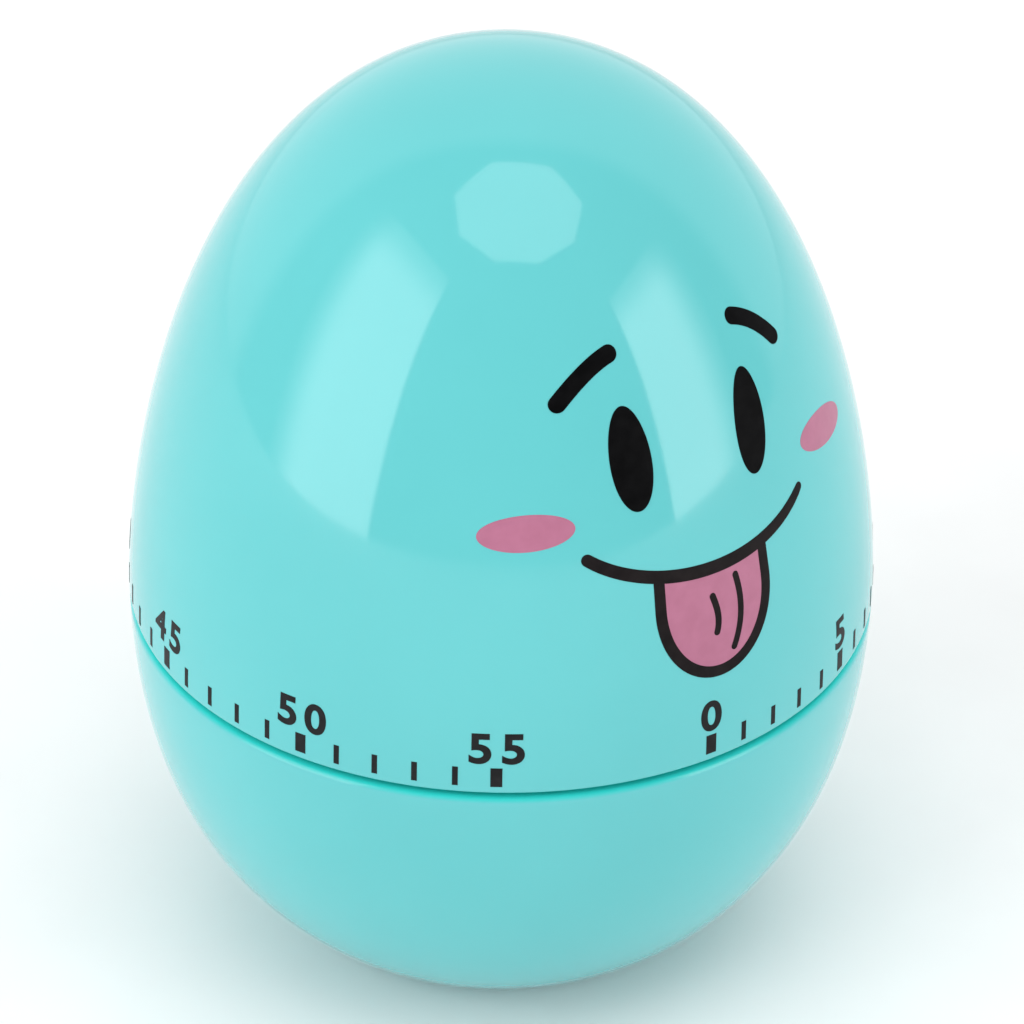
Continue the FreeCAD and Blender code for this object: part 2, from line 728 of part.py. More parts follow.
middle = (sized(0.0), sized(0.0))
second_at = beyond(middle, main_distance, size["second_angle"])
third_at = beyond(second_at, second_distance, size["third_angle"])
escape_at = beyond(third_at, third_distance, size["escape_angle"])
pallet_at = beyond(escape_at, size["pallet_distance"], size["pallet_angle"])
hammer_at = beyond(third_at, size["hammer_distance"], size["hammer_angle"])
release_at = beyond(middle, size["release_distance"], size["release_angle"])
hammer_head_at = beyond(middle, size["hammer_head_ring"], size["hammer_head_angle"])
click_spring_at = (size["click_spring_x"], size["click_spring_y"])


# ---------------------------------------------------------------- shells


def make_base_shell():
    """The lower shell: foot, belly, lip for the dome, posts and sound holes."""
    body = new_body("base_shell")
    sketch = upright_sketch(body)
    closed_outline(sketch, [
        [(0, size["foot_recess"])],
        [(size["foot_ring_radius"], size["foot_recess"])],
        [(size["foot_ring_radius"], 0)],
        [(size["foot_radius"], 0)],
        [(size["heel_radius"], size["heel_height"]),
         (size["egg_radius"], size["seam_height"] - size["belly_drop"]),
         (size["egg_radius"], base_rim)],
        [(0, base_rim)],
    ])
    revolve(body, sketch)
    round_edges(body, size["foot_rounding"], sized(0.0), size["foot_radius"])
    round_edges(body, size["base_rim_rounding"], base_rim, size["egg_radius"])

    sketch = upright_sketch(body)
    closed_outline(sketch, [
        [(0, size["floor_top"])],
        [(size["floor_radius"], size["floor_top"])],
        [(size["inner_heel_radius"], size["inner_heel_height"]),
         (inner_radius, size["seam_height"] - size["inner_belly_drop"]),
         (inner_radius, base_rim)],
        [(0, base_rim)],
    ])
    revolve(body, sketch, cut=True)

    sketch = level_sketch(body, size["lower_plate_bottom"])
    circle(sketch, (size["post_ring"], 0), size["post_radius"])
    post = pad_to_wall(body, sketch, downward=True)
    bore = level_sketch(body, size["lower_plate_bottom"])
    circle(bore, (size["post_ring"], 0), size["post_bore"])
    hole = pocket(body, bore, size["post_bore_depth"])
    repeat(body, [post, hole], sketch, "N_Axis", POSTS)

    sketch = upright_sketch(body)
    lip_root = inner_radius + size["lip_bite"]
    polygon(sketch, [
        (lip_root, size["lip_root"]),
        (lip_root, base_rim),
        (size["lip_outer_radius"], base_rim),
        (size["lip_outer_radius"], size["lip_top"]),
        (size["lip_inner_radius"], size["lip_top"]),
        (size["lip_inner_radius"], size["lip_root"] + size["wall"]),
    ])
    revolve(body, sketch)

    for ring, count in ((size["inner_hole_ring"], INNER_SOUND_HOLES),
                        (size["outer_hole_ring"], OUTER_SOUND_HOLES)):
        sketch = level_sketch(body, 0)
        circle(sketch, (ring, 0), size["sound_hole"])
        hole = pocket(body, sketch, size["floor_top"] + size["wall"], upward=True)
        repeat(body, [hole], sketch, "N_Axis", count)
    place(body, turn=size["post_angle"])


def make_dome_shell():
    """The upper shell, with the bosses that the drive plate is screwed to."""
    body = new_body("dome_shell")
    shoulder = size["seam_height"] + size["shoulder_rise"]
    sketch = upright_sketch(body)
    closed_outline(sketch, [
        [(0, dome_rim)],
        [(size["egg_radius"], dome_rim)],
        [(size["egg_radius"], shoulder),
         (size["crown_reach"], size["egg_height"]),
         (0, size["egg_height"])],
    ])
    revolve(body, sketch)
    round_edges(body, size["dome_rim_rounding"], dome_rim, size["egg_radius"])

    ceiling = size["egg_height"] - size["wall"]
    sketch = upright_sketch(body)
    closed_outline(sketch, [
        [(0, dome_rim)],
        [(inner_radius, dome_rim)],
        [(inner_radius, shoulder), (size["inner_crown_reach"], ceiling), (0, ceiling)],
    ])
    revolve(body, sketch, cut=True)

    sketch = level_sketch(body, drive_top)
    circle(sketch, (size["boss_ring"], 0), size["boss_radius"])
    boss = pad_to_wall(body, sketch, downward=False)
    bore = level_sketch(body, drive_top)
    circle(bore, (size["boss_ring"], 0), size["boss_bore"])
    hole = pocket(body, bore, size["boss_bore_depth"], upward=True)
    repeat(body, [boss, hole], sketch, "N_Axis", BOSSES)
    place(body, turn=size["boss_angle"])


# ---------------------------------------------------------------- frame


def make_plates():
    """The two plates that the clockwork runs between."""
    gap = size["running_gap"]
    pivot_hole = size["pivot_radius"] + gap
    screw_hole = size["pillar_bore"] + size["screw_clearance"]
    pillars = ring_of(PILLARS, size["pillar_ring"], size["pillar_angle"])
    posts = ring_of(POSTS, size["post_ring"], size["post_angle"])
    rivets = ring_of(RIVETS, size["rivet_ring"], size["rivet_angle"])
    arbors = [second_at, third_at, escape_at, pallet_at]

    holes = [(middle, size["shaft_pivot"] + gap), (hammer_at, size["arbor_radius"] + gap)]
    holes += [(corner, pivot_hole) for corner in arbors]
    holes += [(corner, screw_hole) for corner in pillars + posts]
    holes += [(corner, size["rivet_radius"]) for corner in rivets]
    holes += [((-size["spring_post_ring"], 0), size["arbor_radius"])]
    bottom, thickness = size["lower_plate_bottom"], size["plate_thickness"]
    plate("bottom_plate", size["lower_plate_radius"], bottom, thickness, holes)

    holes = [(middle, size["shaft_neck"] + gap), (release_at, size["arbor_radius"])]
    holes += [(corner, pivot_hole) for corner in arbors + [hammer_at]]
    holes += [(corner, screw_hole) for corner in pillars]
    bottom = size["upper_plate_bottom"]
    plate("top_plate", size["upper_plate_radius"], bottom, thickness, holes)


def make_frame_fasteners():
    """Pillars between the plates, their screws and the screws into the base."""
    ring, angle = size["pillar_ring"], size["pillar_angle"]
    bore, depth = size["pillar_bore"], size["pillar_bore_depth"]
    plate_bottom, bottom, top = size["lower_plate_bottom"], lower_plate_top, size["upper_plate_bottom"]
    ring_group("pillars", PILLARS, ring, angle, [(size["pillar_radius"], top)], bottom,
               bores=[(bore, bottom, bottom + depth), (bore, top - depth, top)])
    shank = bore - size["screw_clearance"] / 2
    reach = depth - size["slot_depth"]
    screws("pillar_screws_upper", PILLARS, ring, angle, shank, top - reach, upper_plate_top)
    screws("pillar_screws_lower", PILLARS, ring, angle, shank, bottom + reach, plate_bottom,
           head_up=False)
    shank = size["post_bore"] - size["screw_clearance"] / 2
    tip = plate_bottom - size["post_bore_depth"] + size["slot_depth"]
    ring, angle = size["post_ring"], size["post_angle"]
    screws("movement_screws", POSTS, ring, angle, shank, tip, lower_plate_top)


# ---------------------------------------------------------------- bell


def make_bell_post(flange_bottom, bell_top):
    """The post that hangs the bell from the bottom plate, and its rivets."""
    post_top = size["lower_plate_bottom"]
    steps = [(size["bell_post_radius"], flange_bottom), (size["bell_flange_radius"], post_top)]
    body = turned("bell_post", steps, bell_top)
    sketch = level_sketch(body, post_top)
    circle(sketch, (0, 0), size["pivot_relief"])
    pocket(body, sketch, size["plate_thickness"])
    sketch = level_sketch(body, bell_top)
    circle(sketch, (0, 0), size["bell_tap"])
    pocket(body, sketch, size["pillar_bore_depth"], upward=True)
    sketch = level_sketch(body, post_top)
    ring, angle = size["rivet_ring"], size["rivet_angle"]
    for corner in ring_of(RIVETS, ring, angle):
        circle(sketch, corner, size["rivet_radius"])
    pocket(body, sketch, size["plate_thickness"])

    head, height = size["rivet_head"], size["rivet_head_height"]
    steps = [
        (head, flange_bottom),
        (size["rivet_radius"], lower_plate_top),
        (head, lower_plate_top + height),
    ]
    ring_group("bell_post_rivets", RIVETS, ring, angle, steps, flange_bottom - height)


def make_bell():
    """The bell, which hangs mouth up, with its washer and screw."""
    flange_bottom = size["lower_plate_bottom"] - size["plate_thickness"]
    bottom, mouth, crown = size["bell_bottom"], size["bell_mouth"], size["bell_crown"]
    top = bottom + size["bell_wall"]
    outer, inner = size["bell_radius"], size["bell_radius"] - size["bell_wall"]
    make_bell_post(flange_bottom, top)

    body = new_body("bell")
    sketch = upright_sketch(body)
    closed_outline(sketch, [
        [(size["bell_bore"], bottom)],
        [(crown, bottom)],
        [(size["bell_shoulder"], bottom), (outer, size["bell_side"]), (outer, mouth)],
        [(inner, mouth)],
        [(inner, size["bell_inner_side"]), (size["bell_inner_shoulder"], top), (crown, top)],
        [(size["bell_bore"], top)],
    ])
    revolve(body, sketch)

    washer_bottom = bottom - size["bell_washer_thickness"]
    washer = [(size["bell_post_radius"], bottom)]
    turned("bell_washer", washer, washer_bottom, bore=size["bell_bore"])
    shank = size["bell_tap"] - size["screw_clearance"] / 2
    tip = top + size["pillar_bore_depth"] - size["slot_depth"]
    head_bottom = washer_bottom - size["screw_head_height"]
    steps = [(size["bell_screw_head"], washer_bottom), (shank, tip)]
    body = turned("bell_screw", steps, head_bottom)
    sketch = level_sketch(body, head_bottom)
    half, reach = size["slot_width"] / 2, size["bell_post_radius"]
    polygon(sketch, [(-half, -reach), (half, -reach), (half, reach), (-half, reach)])
    pocket(body, sketch, size["slot_depth"], upward=True)


# ---------------------------------------------------------------- shaft


def make_shaft():
    """The main shaft with its drive flat and circlip groove."""
    neck, groove = size["shaft_neck"], size["clip_groove"]
    play, half_play = size["end_play"], size["end_play"] / 2
    clip_bottom = size["clip_bottom"]
    clip_top = clip_bottom + size["clip_thickness"]
    steps = [
        (size["shaft_pivot"], lower_plate_top + play),
        (size["shaft_radius"], size["flange_bottom"]),
        (size["flange_radius"], size["main_wheel_bottom"] - half_play),
        (size["shaft_radius"], size["upper_plate_bottom"] - play),
        (neck, clip_bottom),
        (groove, clip_top),
        (neck, size["shaft_top"]),
    ]
    body = turned("main_shaft", steps, size["shaft_bottom"])
    sketch = level_sketch(body, size["shaft_top"])
    flat, reach = size["shaft_flat"], size["shaft_radius"]
    polygon(sketch, [(-reach, flat), (reach, flat), (reach, reach), (-reach, reach)])
    pocket(body, sketch, size["shaft_top"] - size["hub_bottom"] + size["wall"])

    washer = [(size["clip_radius"], clip_bottom - half_play)]
    turned("shaft_washer", washer, upper_plate_top + half_play, bore=neck + half_play)
    clip = [(size["clip_radius"], clip_top - half_play)]
    body = turned("shaft_circlip", clip, clip_bottom + half_play, bore=groove + half_play)
    sketch = level_sketch(body, clip_bottom)
    mouth, reach = size["clip_mouth"], size["hub_radius"]
    polygon(sketch, [(0, -mouth), (reach, -mouth), (reach, mouth), (0, mouth)])
    pocket(body, sketch, size["clip_thickness"], upward=True)


def make_drive_plate():
    """The plate in the dome that grips the shaft's flat, and its screws."""
    angle = size["boss_angle"]
    screw_hole = size["boss_bore"] + size["screw_clearance"]
    bosses = ring_of(BOSSES, size["boss_ring"], angle)
    windows = ring_of(BOSSES, size["window_ring"], angle)
    holes = [(corner, screw_hole) for corner in bosses]
    holes += [(corner, size["window_radius"]) for corner in windows]
    bottom, thickness = size["drive_bottom"], size["drive_thickness"]
    body = plate("drive_plate", size["drive_radius"], bottom, thickness, holes)
    sketch = level_sketch(body, size["hub_bottom"])
    circle(sketch, (0, 0), size["hub_radius"])
    pad(body, sketch, drive_top - size["hub_bottom"])

    neck = size["shaft_neck"] + size["running_gap"]
    flat = size["shaft_flat"] + size["running_gap"]
    half = math.asin(flat.value / neck.value)
    sketch = level_sketch(body, size["hub_bottom"])
    circle_of_bore = Part.Circle(Vector(0, 0, 0), Vector(0, 0, 1), neck.value)
    arc_of_bore = Part.ArcOfCircle(circle_of_bore, math.pi - half, 2 * math.pi + half)
    arc = sketch.addGeometry(arc_of_bore, False)
    corners = [Vector(side * neck.value * math.cos(half), flat.value, 0) for side in (1, -1)]
    chord = sketch.addGeometry(Part.LineSegment(*corners), False)
    sketch.addConstraint(Sketcher.Constraint("Coincident", arc, 3, -1, 1))
    sketch.addConstraint(Sketcher.Constraint("Coincident", arc, 2, chord, 1))
    sketch.addConstraint(Sketcher.Constraint("Coincident", arc, 1, chord, 2))
    sketch.addConstraint(Sketcher.Constraint("Horizontal", chord))
    constrain(sketch, neck, "Radius", arc)
    constrain(sketch, flat, "DistanceY", -1, 1, chord, 1)
    pocket(body, sketch, drive_top - size["hub_bottom"], upward=True)

    shank = size["boss_bore"] - size["screw_clearance"] / 2
    tip = drive_top + size["boss_bore_depth"] - size["slot_depth"]
    screws("drive_plate_screws", BOSSES, size["boss_ring"], angle, shank, tip, bottom, head_up=False)


# ---------------------------------------------------------------- power


def make_mainspring():
    """The mainspring, a flat strip wound in half turns about two centres."""
    strip, pitch = size["spring_strip"].value, size["spring_pitch"].value
    up = Vector(0, 0, 1)
    faces = []
    for i in range(int(size["spring_half_turns"].value)):
        side = 1 if i % 2 == 0 else -1
        centre = Vector(-side * pitch / 4, 0, 0)
        inner = size["spring_start"].value + i * pitch / 2
        first = 0.0 if side == 1 else HALF_TURN
        rims = [Part.makeCircle(radius, centre, up, first, first + HALF_TURN)
                for radius in (inner, inner + strip)]
        ends = [Part.makeLine(rims[0].valueAt(t), rims[1].valueAt(t)) for t in rims[0].ParameterRange]
        faces.append(Part.Face(Part.Wire([rims[0], ends[1], rims[1], ends[0]])))
    strip_face = faces[0].multiFuse(faces[1:]).removeSplitter()
    spring = doc.addObject("Part::Feature", "mainspring")
    spring.Label = "mainspring"
    spring.Shape = strip_face.Faces[0].extrude(up * size["spring_height"].value)
    spring.Placement = Placement(Vector(0, 0, size["spring_bottom"].value), Rotation())
    nodes.append(spring)

    top = size["spring_bottom"] + size["spring_height"]
    steps = [(size["arbor_radius"], lower_plate_top), (size["spring_post"], top)]
    turned("spring_post", steps, size["lower_plate_bottom"], x=-size["spring_post_ring"])


def make_ratchet():
    """The ratchet on the shaft, and the click that rides on the main wheel."""
    bottom, thickness = size["ratchet_bottom"], size["ratchet_thickness"]
    top, wheel_bottom = bottom + thickness, size["main_wheel_bottom"]
    pin = size["arbor_radius"]
    tip = size["ratchet_radius"].value
    root = tip - size["ratchet_depth"].value
    tooth = [(root, 0.0), (tip, math.radians(size["ratchet_lead"].value))]
    bore = size["shaft_radius"].value + size["press_gap"].value
    face = toothed_face(tooth, int(size["ratchet_teeth"].value), 0.0, bore, symmetric=False)
    toothed_wheel("ratchet_wheel", face, bottom, thickness)

    ring = size["click_ring"]
    steps = [
        (pin, top + size["end_play"] / 2),
        (size["click_pin_head"], top + size["click_pin_head_height"]),
    ]
    turned("click_pin", steps, wheel_bottom, x=ring)
    arms = [(size["click_tip_x"], size["click_tip_y"])]
    lever("click", arms, size["click_half_width"], bottom, thickness, size["lever_hub"],
          pin + size["running_gap"], ring, 0)

    x, y = click_spring_at
    turned("click_spring_pin", [(pin, top)], wheel_bottom, x=x, y=y)
    arms = [(size["click_spring_end_x"], size["click_spring_end_y"])]
    lever("click_spring", arms, size["spring_strip"] / 2, bottom, size["click_spring_width"],
          size["click_spring_hub"], pin, x, y)


def wheel_face(module, teeth, tooth_angle, bore):
    """The face of a train wheel with one tooth pointing at tooth_angle."""
    count = size[teeth].value
    tooth = gear_tooth(size[module].value, count, WHEEL_ADDENDUM, WHEEL_DEDENDUM)
    return toothed_face(tooth, int(count), tooth_angle, bore)


def pinion(label, corner, module, wheel_angle, wheel_bottom, below, above):
    """A pinion whose leaves stand astride the tooth of the wheel that drives it."""
    tooth_angle = wheel_angle + HALF_TURN + HALF_TURN / size["leaves"].value
    leaves = (size[module], tooth_angle, wheel_bottom - below, wheel_bottom + above)
    arbor(label, *corner, leaves=leaves)


def make_train():
    """Wheels and pinions from the main wheel to the escape wheel."""
    second_dir, third_dir, escape_dir = (size[name].value for name in
                                         ("second_angle", "third_angle", "escape_angle"))
    main_bottom, thickness = size["main_wheel_bottom"], size["wheel_thickness"]
    second_bottom, third_bottom = size["second_wheel_bottom"], size["third_wheel_bottom"]
    below, above = size["leaves_below"], size["leaves_above"]
    pin = size["arbor_radius"]
    bore = pin.value + size["press_gap"].value

    shaft_bore = size["shaft_radius"].value + size["running_gap"].value
    face = wheel_face("main_module", "main_teeth", second_dir, shaft_bore)
    toothed_wheel("main_wheel", face, main_bottom, size["main_wheel_thickness"],
                  piercing=[((size["click_ring"], 0), pin), (click_spring_at, pin)])
    pinion("second_pinion", second_at, "main_module", second_dir, main_bottom,
           size["second_leaves_below"], size["second_leaves_above"])
    face = wheel_face("second_module", "second_teeth", third_dir, bore)
    toothed_wheel("second_wheel", face, second_bottom, thickness, *second_at)
    pinion("third_pinion", third_at, "second_module", third_dir, second_bottom, below, above)
    face = wheel_face("third_module", "third_teeth", escape_dir, bore)
    toothed_wheel("third_wheel", face, third_bottom, thickness, *third_at)
    pinion("escape_pinion", escape_at, "third_module", escape_dir, third_bottom, below, above)

    tooth = [(size["star_root"].value, math.radians(size["star_root_angle"].value)),
             (size["star_radius"].value, math.radians(size["star_tip_angle"].value))]
    face = toothed_face(tooth, int(size["star_points"].value), 0.0, bore)
    toothed_wheel("star_wheel", face, size["star_bottom"], size["lever_thickness"], *third_at)
    tip = size["escape_radius"].value
    tooth = [(size["escape_root"].value, 0.0)]
    tooth += [(tip, math.radians(size[name].value)) for name in ("escape_lead", "escape_land")]
    face = toothed_face(tooth, int(size["escape_teeth"].value), 0.0, bore, symmetric=False)
    toothed_wheel("escape_wheel", face, size["escape_wheel_bottom"], size["lever_thickness"], *escape_at)


def make_pallet():
    """The pallet lever and the bar that slows it."""
    turn = size["pallet_angle"] - HALF_TURN
    press, hub = size["arbor_radius"] + size["press_gap"], size["lever_hub"]
    arbor("pallet_arbor", *pallet_at)
    wheel_bottom = size["escape_wheel_bottom"]
    bottom = wheel_bottom + size["lever_thickness"] + size["lever_gap"]
    arms = [(size["pallet_pin_x"], size["pallet_pin_y"] * side) for side in (1, -1)]
    pins = [(corner, size["pallet_pin_radius"], bottom - wheel_bottom) for corner in arms]
    lever("pallet_lever", arms, size["lever_half_width"], bottom, size["wheel_thickness"], hub, press,
          *pallet_at, turn=turn, pins=pins)
    arms = [(size["balance_reach"], 0), (-size["balance_reach"], 0)]
    lever("balance_bar", arms, size["balance_half_width"], size["balance_bottom"],
          size["lever_thickness"], hub, press, *pallet_at, turn=turn)


# ---------------------------------------------------------------- alarm


def make_hammer():
    """The hammer's arbor with its anchor, detent, arm and head."""
    press = size["arbor_radius"] + size["press_gap"]
    thickness, hub = size["lever_thickness"], size["lever_hub"]
    arm_bottom, gap = size["hammer_arm_bottom"], size["lever_gap"]
    arbor("hammer_arbor", *hammer_at, bottom_end=arm_bottom - gap)

    bottom = size["star_bottom"] + thickness + gap
    arms = [
        (size["anchor_left_x"], size["anchor_left_y"]),
        (size["anchor_right_x"], size["anchor_right_y"]),
    ]
    pins = [(corner, size["anchor_pin_radius"], bottom - size["star_bottom"]) for corner in arms]
    lever("hammer_anchor", arms, size["lever_half_width"], bottom, thickness, hub, press,
          *hammer_at, turn=size["hammer_angle"] + HALF_TURN, pins=pins)
    arms = [(size["detent_tip_x"], size["detent_tip_y"])]
    lever("hammer_detent", arms, size["detent_half_width"], size["cam_bottom"], thickness,
          size["detent_hub"], press, *hammer_at)

    end = (hammer_head_at[0] - hammer_at[0], hammer_head_at[1] - hammer_at[1])
    shank = size["hammer_shank"]
    arm = lever("hammer_arm", [end], size["hammer_arm_half_width"], arm_bottom, thickness, hub, press,
                *hammer_at)
    sketch = level_sketch(arm, arm_bottom)
    circle(sketch, end, shank)
    pocket(arm, sketch, thickness, upward=True)
    head = size["hammer_head_radius"]
    x, y = hammer_head_at
    steps = [(head, arm_bottom), (shank, arm_bottom + thickness)]
    turned("hammer_head", steps, arm_bottom - head * 2, x=x, y=y)


def make_release():
    """The cam on the shaft and the lever that frees the hammer at zero."""
    bottom, thickness = size["cam_bottom"], size["cam_thickness"]
    notch, floor, rim = size["cam_notch"], size["cam_notch_floor"], size["cam_radius"]
    bore = size["shaft_radius"] + size["press_gap"]
    body = plate("cam_disc", rim, bottom, thickness, [((0, 0), bore)])
    sketch = level_sketch(body, bottom)
    low, high = rim - notch, rim + notch
    polygon(sketch, [(-floor, low), (floor, low), (notch, high), (-notch, high)])
    pocket(body, sketch, thickness, upward=True)

    pin = size["release_pin"]
    x, y = release_at
    steps = [
        (size["lever_hub"], bottom - size["end_play"]),
        (pin, size["upper_plate_bottom"]),
        (size["arbor_radius"], upper_plate_top),
    ]
    turned("release_post", steps, bottom - size["lever_thickness"], x=x, y=y)
    arms = [
        (size["release_nose_x"], size["release_nose_y"]),
        (size["release_tail_x"], size["release_tail_y"]),
    ]
    lever("release_lever", arms, size["lever_half_width"], bottom, thickness, size["release_hub"],
          pin + size["running_gap"], x, y)


def check_document():
    """Stops if any object failed or any sub-part has no sound shape."""
    doc.recompute()
    for item in doc.Objects:
        if "Invalid" in item.State or "Error" in item.State:
            raise RuntimeError(f"{item.Label}: {item.State}")
    for node in nodes:
        if node.Shape.isNull() or not node.Shape.isValid():
            raise RuntimeError(f"{node.Label} has no sound shape")


make_base_shell()
make_dome_shell()
make_plates()
make_frame_fasteners()
make_bell()
make_shaft()
make_drive_plate()
make_mainspring()
make_ratchet()
make_train()
make_pallet()
make_hammer()
make_release()
check_document()

os.makedirs("parts", exist_ok=True)
for node in nodes:
    node.Shape.exportStep(f"parts/{node.Label}.step")
    print(node.Label, round(node.Shape.Volume, 3), "mm3", len(node.Shape.Solids), "solid(s)")
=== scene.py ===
import json
import math
from bisect import bisect_left

import bmesh
import bpy
from mathutils import Matrix, Vector
from mathutils.geometry import delaunay_2d_cdt


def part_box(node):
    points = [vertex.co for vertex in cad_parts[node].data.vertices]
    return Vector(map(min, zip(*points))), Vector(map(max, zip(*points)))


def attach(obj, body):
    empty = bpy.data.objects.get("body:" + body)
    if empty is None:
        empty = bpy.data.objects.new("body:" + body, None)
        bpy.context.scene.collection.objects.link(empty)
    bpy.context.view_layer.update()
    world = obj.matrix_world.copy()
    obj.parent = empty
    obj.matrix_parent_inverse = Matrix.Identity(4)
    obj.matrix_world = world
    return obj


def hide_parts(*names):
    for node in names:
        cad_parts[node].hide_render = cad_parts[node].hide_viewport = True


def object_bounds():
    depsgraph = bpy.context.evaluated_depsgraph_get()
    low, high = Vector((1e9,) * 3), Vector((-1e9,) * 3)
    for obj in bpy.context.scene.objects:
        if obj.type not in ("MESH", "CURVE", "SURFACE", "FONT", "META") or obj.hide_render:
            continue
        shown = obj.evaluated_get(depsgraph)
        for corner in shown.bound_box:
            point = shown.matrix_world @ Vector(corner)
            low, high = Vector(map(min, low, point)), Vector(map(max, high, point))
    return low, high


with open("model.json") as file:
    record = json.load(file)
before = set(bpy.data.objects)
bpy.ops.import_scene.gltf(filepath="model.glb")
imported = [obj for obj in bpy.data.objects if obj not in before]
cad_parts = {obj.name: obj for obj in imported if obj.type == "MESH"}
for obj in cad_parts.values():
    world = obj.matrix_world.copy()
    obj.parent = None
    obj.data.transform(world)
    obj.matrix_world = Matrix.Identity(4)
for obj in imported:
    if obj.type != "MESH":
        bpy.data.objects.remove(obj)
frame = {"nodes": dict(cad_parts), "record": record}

# Lengths on the object are in millimetres until MM turns them into metres.
MM = 0.001
cad_low, cad_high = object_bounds()

# ---------------------------------------------------------------- sizes of the two shells
EGG_RADIUS = cad_high.x / MM
EGG_HEIGHT = cad_high.z / MM
DOME_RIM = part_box("dome_shell")[0].z / MM
LIP_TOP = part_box("base_shell")[1].z / MM
SEAM_GAP = 0.5
SEAM = DOME_RIM - SEAM_GAP / 2
BASE_RIM = DOME_RIM - SEAM_GAP
WALL = 1.8
EGG_SHOULDER = SEAM + 12.3
INNER_RADIUS = EGG_RADIUS - WALL
DOME_RIM_ROUNDING = 0.25
BASE_RIM_ROUNDING = 0.6
FOOT_ROUNDING = 0.8
FOOT_RING_RADIUS = 11.8
FOOT_RECESS = 0.5
FLOOR_TOP = 2.3
LIP_INNER_RADIUS = 26.6
LIP_OUTER_RADIUS = 27.8
LIP_FOOT = 28.3
LIP_CHAMFER_END = (28.12, 26.95)
# Each curve is a cubic: its one end, its two handles and its other end.
DOME_CURVE = [(EGG_RADIUS, DOME_RIM), (EGG_RADIUS, EGG_SHOULDER), (24.1, EGG_HEIGHT), (0, EGG_HEIGHT)]
DOME_INNER_CURVE = [
    (INNER_RADIUS, DOME_RIM),
    (INNER_RADIUS, EGG_SHOULDER),
    (22.6, EGG_HEIGHT - WALL),
    (0, EGG_HEIGHT - WALL),
]
BASE_CURVE = [(13.9, 0), (21.9, 3.8), (EGG_RADIUS, SEAM - 18.6), (EGG_RADIUS, BASE_RIM)]
BASE_INNER_CURVE = [
    (13.4, FLOOR_TOP),
    (20.9, 5.6),
    (INNER_RADIUS, SEAM - 17.9),
    (INNER_RADIUS, BASE_RIM),
]
SOUND_HOLE_RADIUS = 1.1
# Each ring's radius and number of holes.
SOUND_HOLE_RINGS = ((6.8, 8), (10.4, 12))
BASE_TURN, BOSS_TURN = math.radians(45), math.radians(90)
SCREWS_ON_RING = 3
POST_RING, POST_RADIUS, POST_TOP = 21.5, 2.2, 14.0
BOSS_RING, BOSS_RADIUS, BOSS_BOTTOM = 24.6, 2.5, 38.0
PILOT_RADIUS, POST_PILOT_DEPTH, BOSS_PILOT_DEPTH = 0.95, 5.5, 8.0
# A cut runs on past the faces that it goes through.
CUT_EXCESS = 1
# Steps round a turned shell, along its curves, along the sides that the print follows, round a pilot.
AROUND, ALONG, SIDE_STEPS, PILOT_SIDES = 256, 96, 600, 24
ON_AXIS = 1e-6

# ---------------------------------------------------------------- print
# Heights of the scale and the face count from the seam.
INK_PROUD = {"ink_pink": 0.012, "ink_black": 0.024, "ink_outline": 0.024, "ink_grey": 0.024}
INK_SUNK = 0.01
INK_PITCH = 0.55
# Share of the pitch that the grid's points keep from an outline.
GRID_CLEARANCE = 0.45
FILL_PRECISION = 1e-7
GLYPH_WELD = 1e-5
FACE_CENTRE = math.radians(-90)
ZERO_TICK = math.radians(-91.95)
MINUTE = math.radians(5.95)
LAST_MINUTE, MAJOR_STEP, INDEX_MINUTE = 55, 5, 30
TICK_LOW, TICK_HIGH = 0.92, 2.6
TICK_WIDTH, MAJOR_TICK_WIDTH = 0.44, 0.9
DIGIT_LOW, DIGIT_HEIGHT, DIGIT_STRETCH = 2.95, 2.66, 1.07
DIGIT_SPACING = 2.5
DIGIT_BOLDNESS = 0.028
STROKE_STEPS = 48
STROKE_END_STEPS = 10
STROKE_SWELL = 0.6
INDEX_LOW, INDEX_HIGH, INDEX_WIDTH = -5.2, -1.6, 3.6


# ---------------------------------------------------------------- curves and outlines
def bezier(points, count):
    """Points along a cubic curve given by its two ends and two handles."""
    result = []
    for step in range(count + 1):
        t = step / count
        weights = ((1 - t) ** 3, 3 * t * (1 - t) ** 2, 3 * t * t * (1 - t), t**3)
        result.append(tuple(sum(w * p[axis] for w, p in zip(weights, points)) for axis in (0, 1)))
    return result


def rounded_corner(before, corner, after, radius, count=8):
    """Points of the arc that rounds the corner between two straight edges."""
    before, corner, after = Vector(before), Vector(corner), Vector(after)
    to_before = (before - corner).normalized()
    to_after = (after - corner).normalized()
    half_angle = to_before.angle(to_after) / 2
    reach = radius / math.tan(half_angle)
    centre = corner + (to_before + to_after).normalized() * radius / math.sin(half_angle)
    start = corner + to_before * reach - centre
    end = corner + to_after * reach - centre
    sweep = start.angle(end)
    arc = []
    for step in range(count + 1):
        share = step / count
        mixed = (start * math.sin((1 - share) * sweep) + end * math.sin(share * sweep)) / math.sin(sweep)
        arc.append(tuple(centre + mixed))
    return arc


def middle_curve(outer, inner):
    """The curve halfway between two others."""
    return [tuple((a + b) / 2 for a, b in zip(p, q)) for p, q in zip(outer, inner)]


# ---------------------------------------------------------------- solids
def new_object(name, data):
    """Puts a mesh, curve, light or camera in the scene."""
    obj = bpy.data.objects.new(name, data)
    bpy.context.scene.collection.objects.link(obj)
    return obj


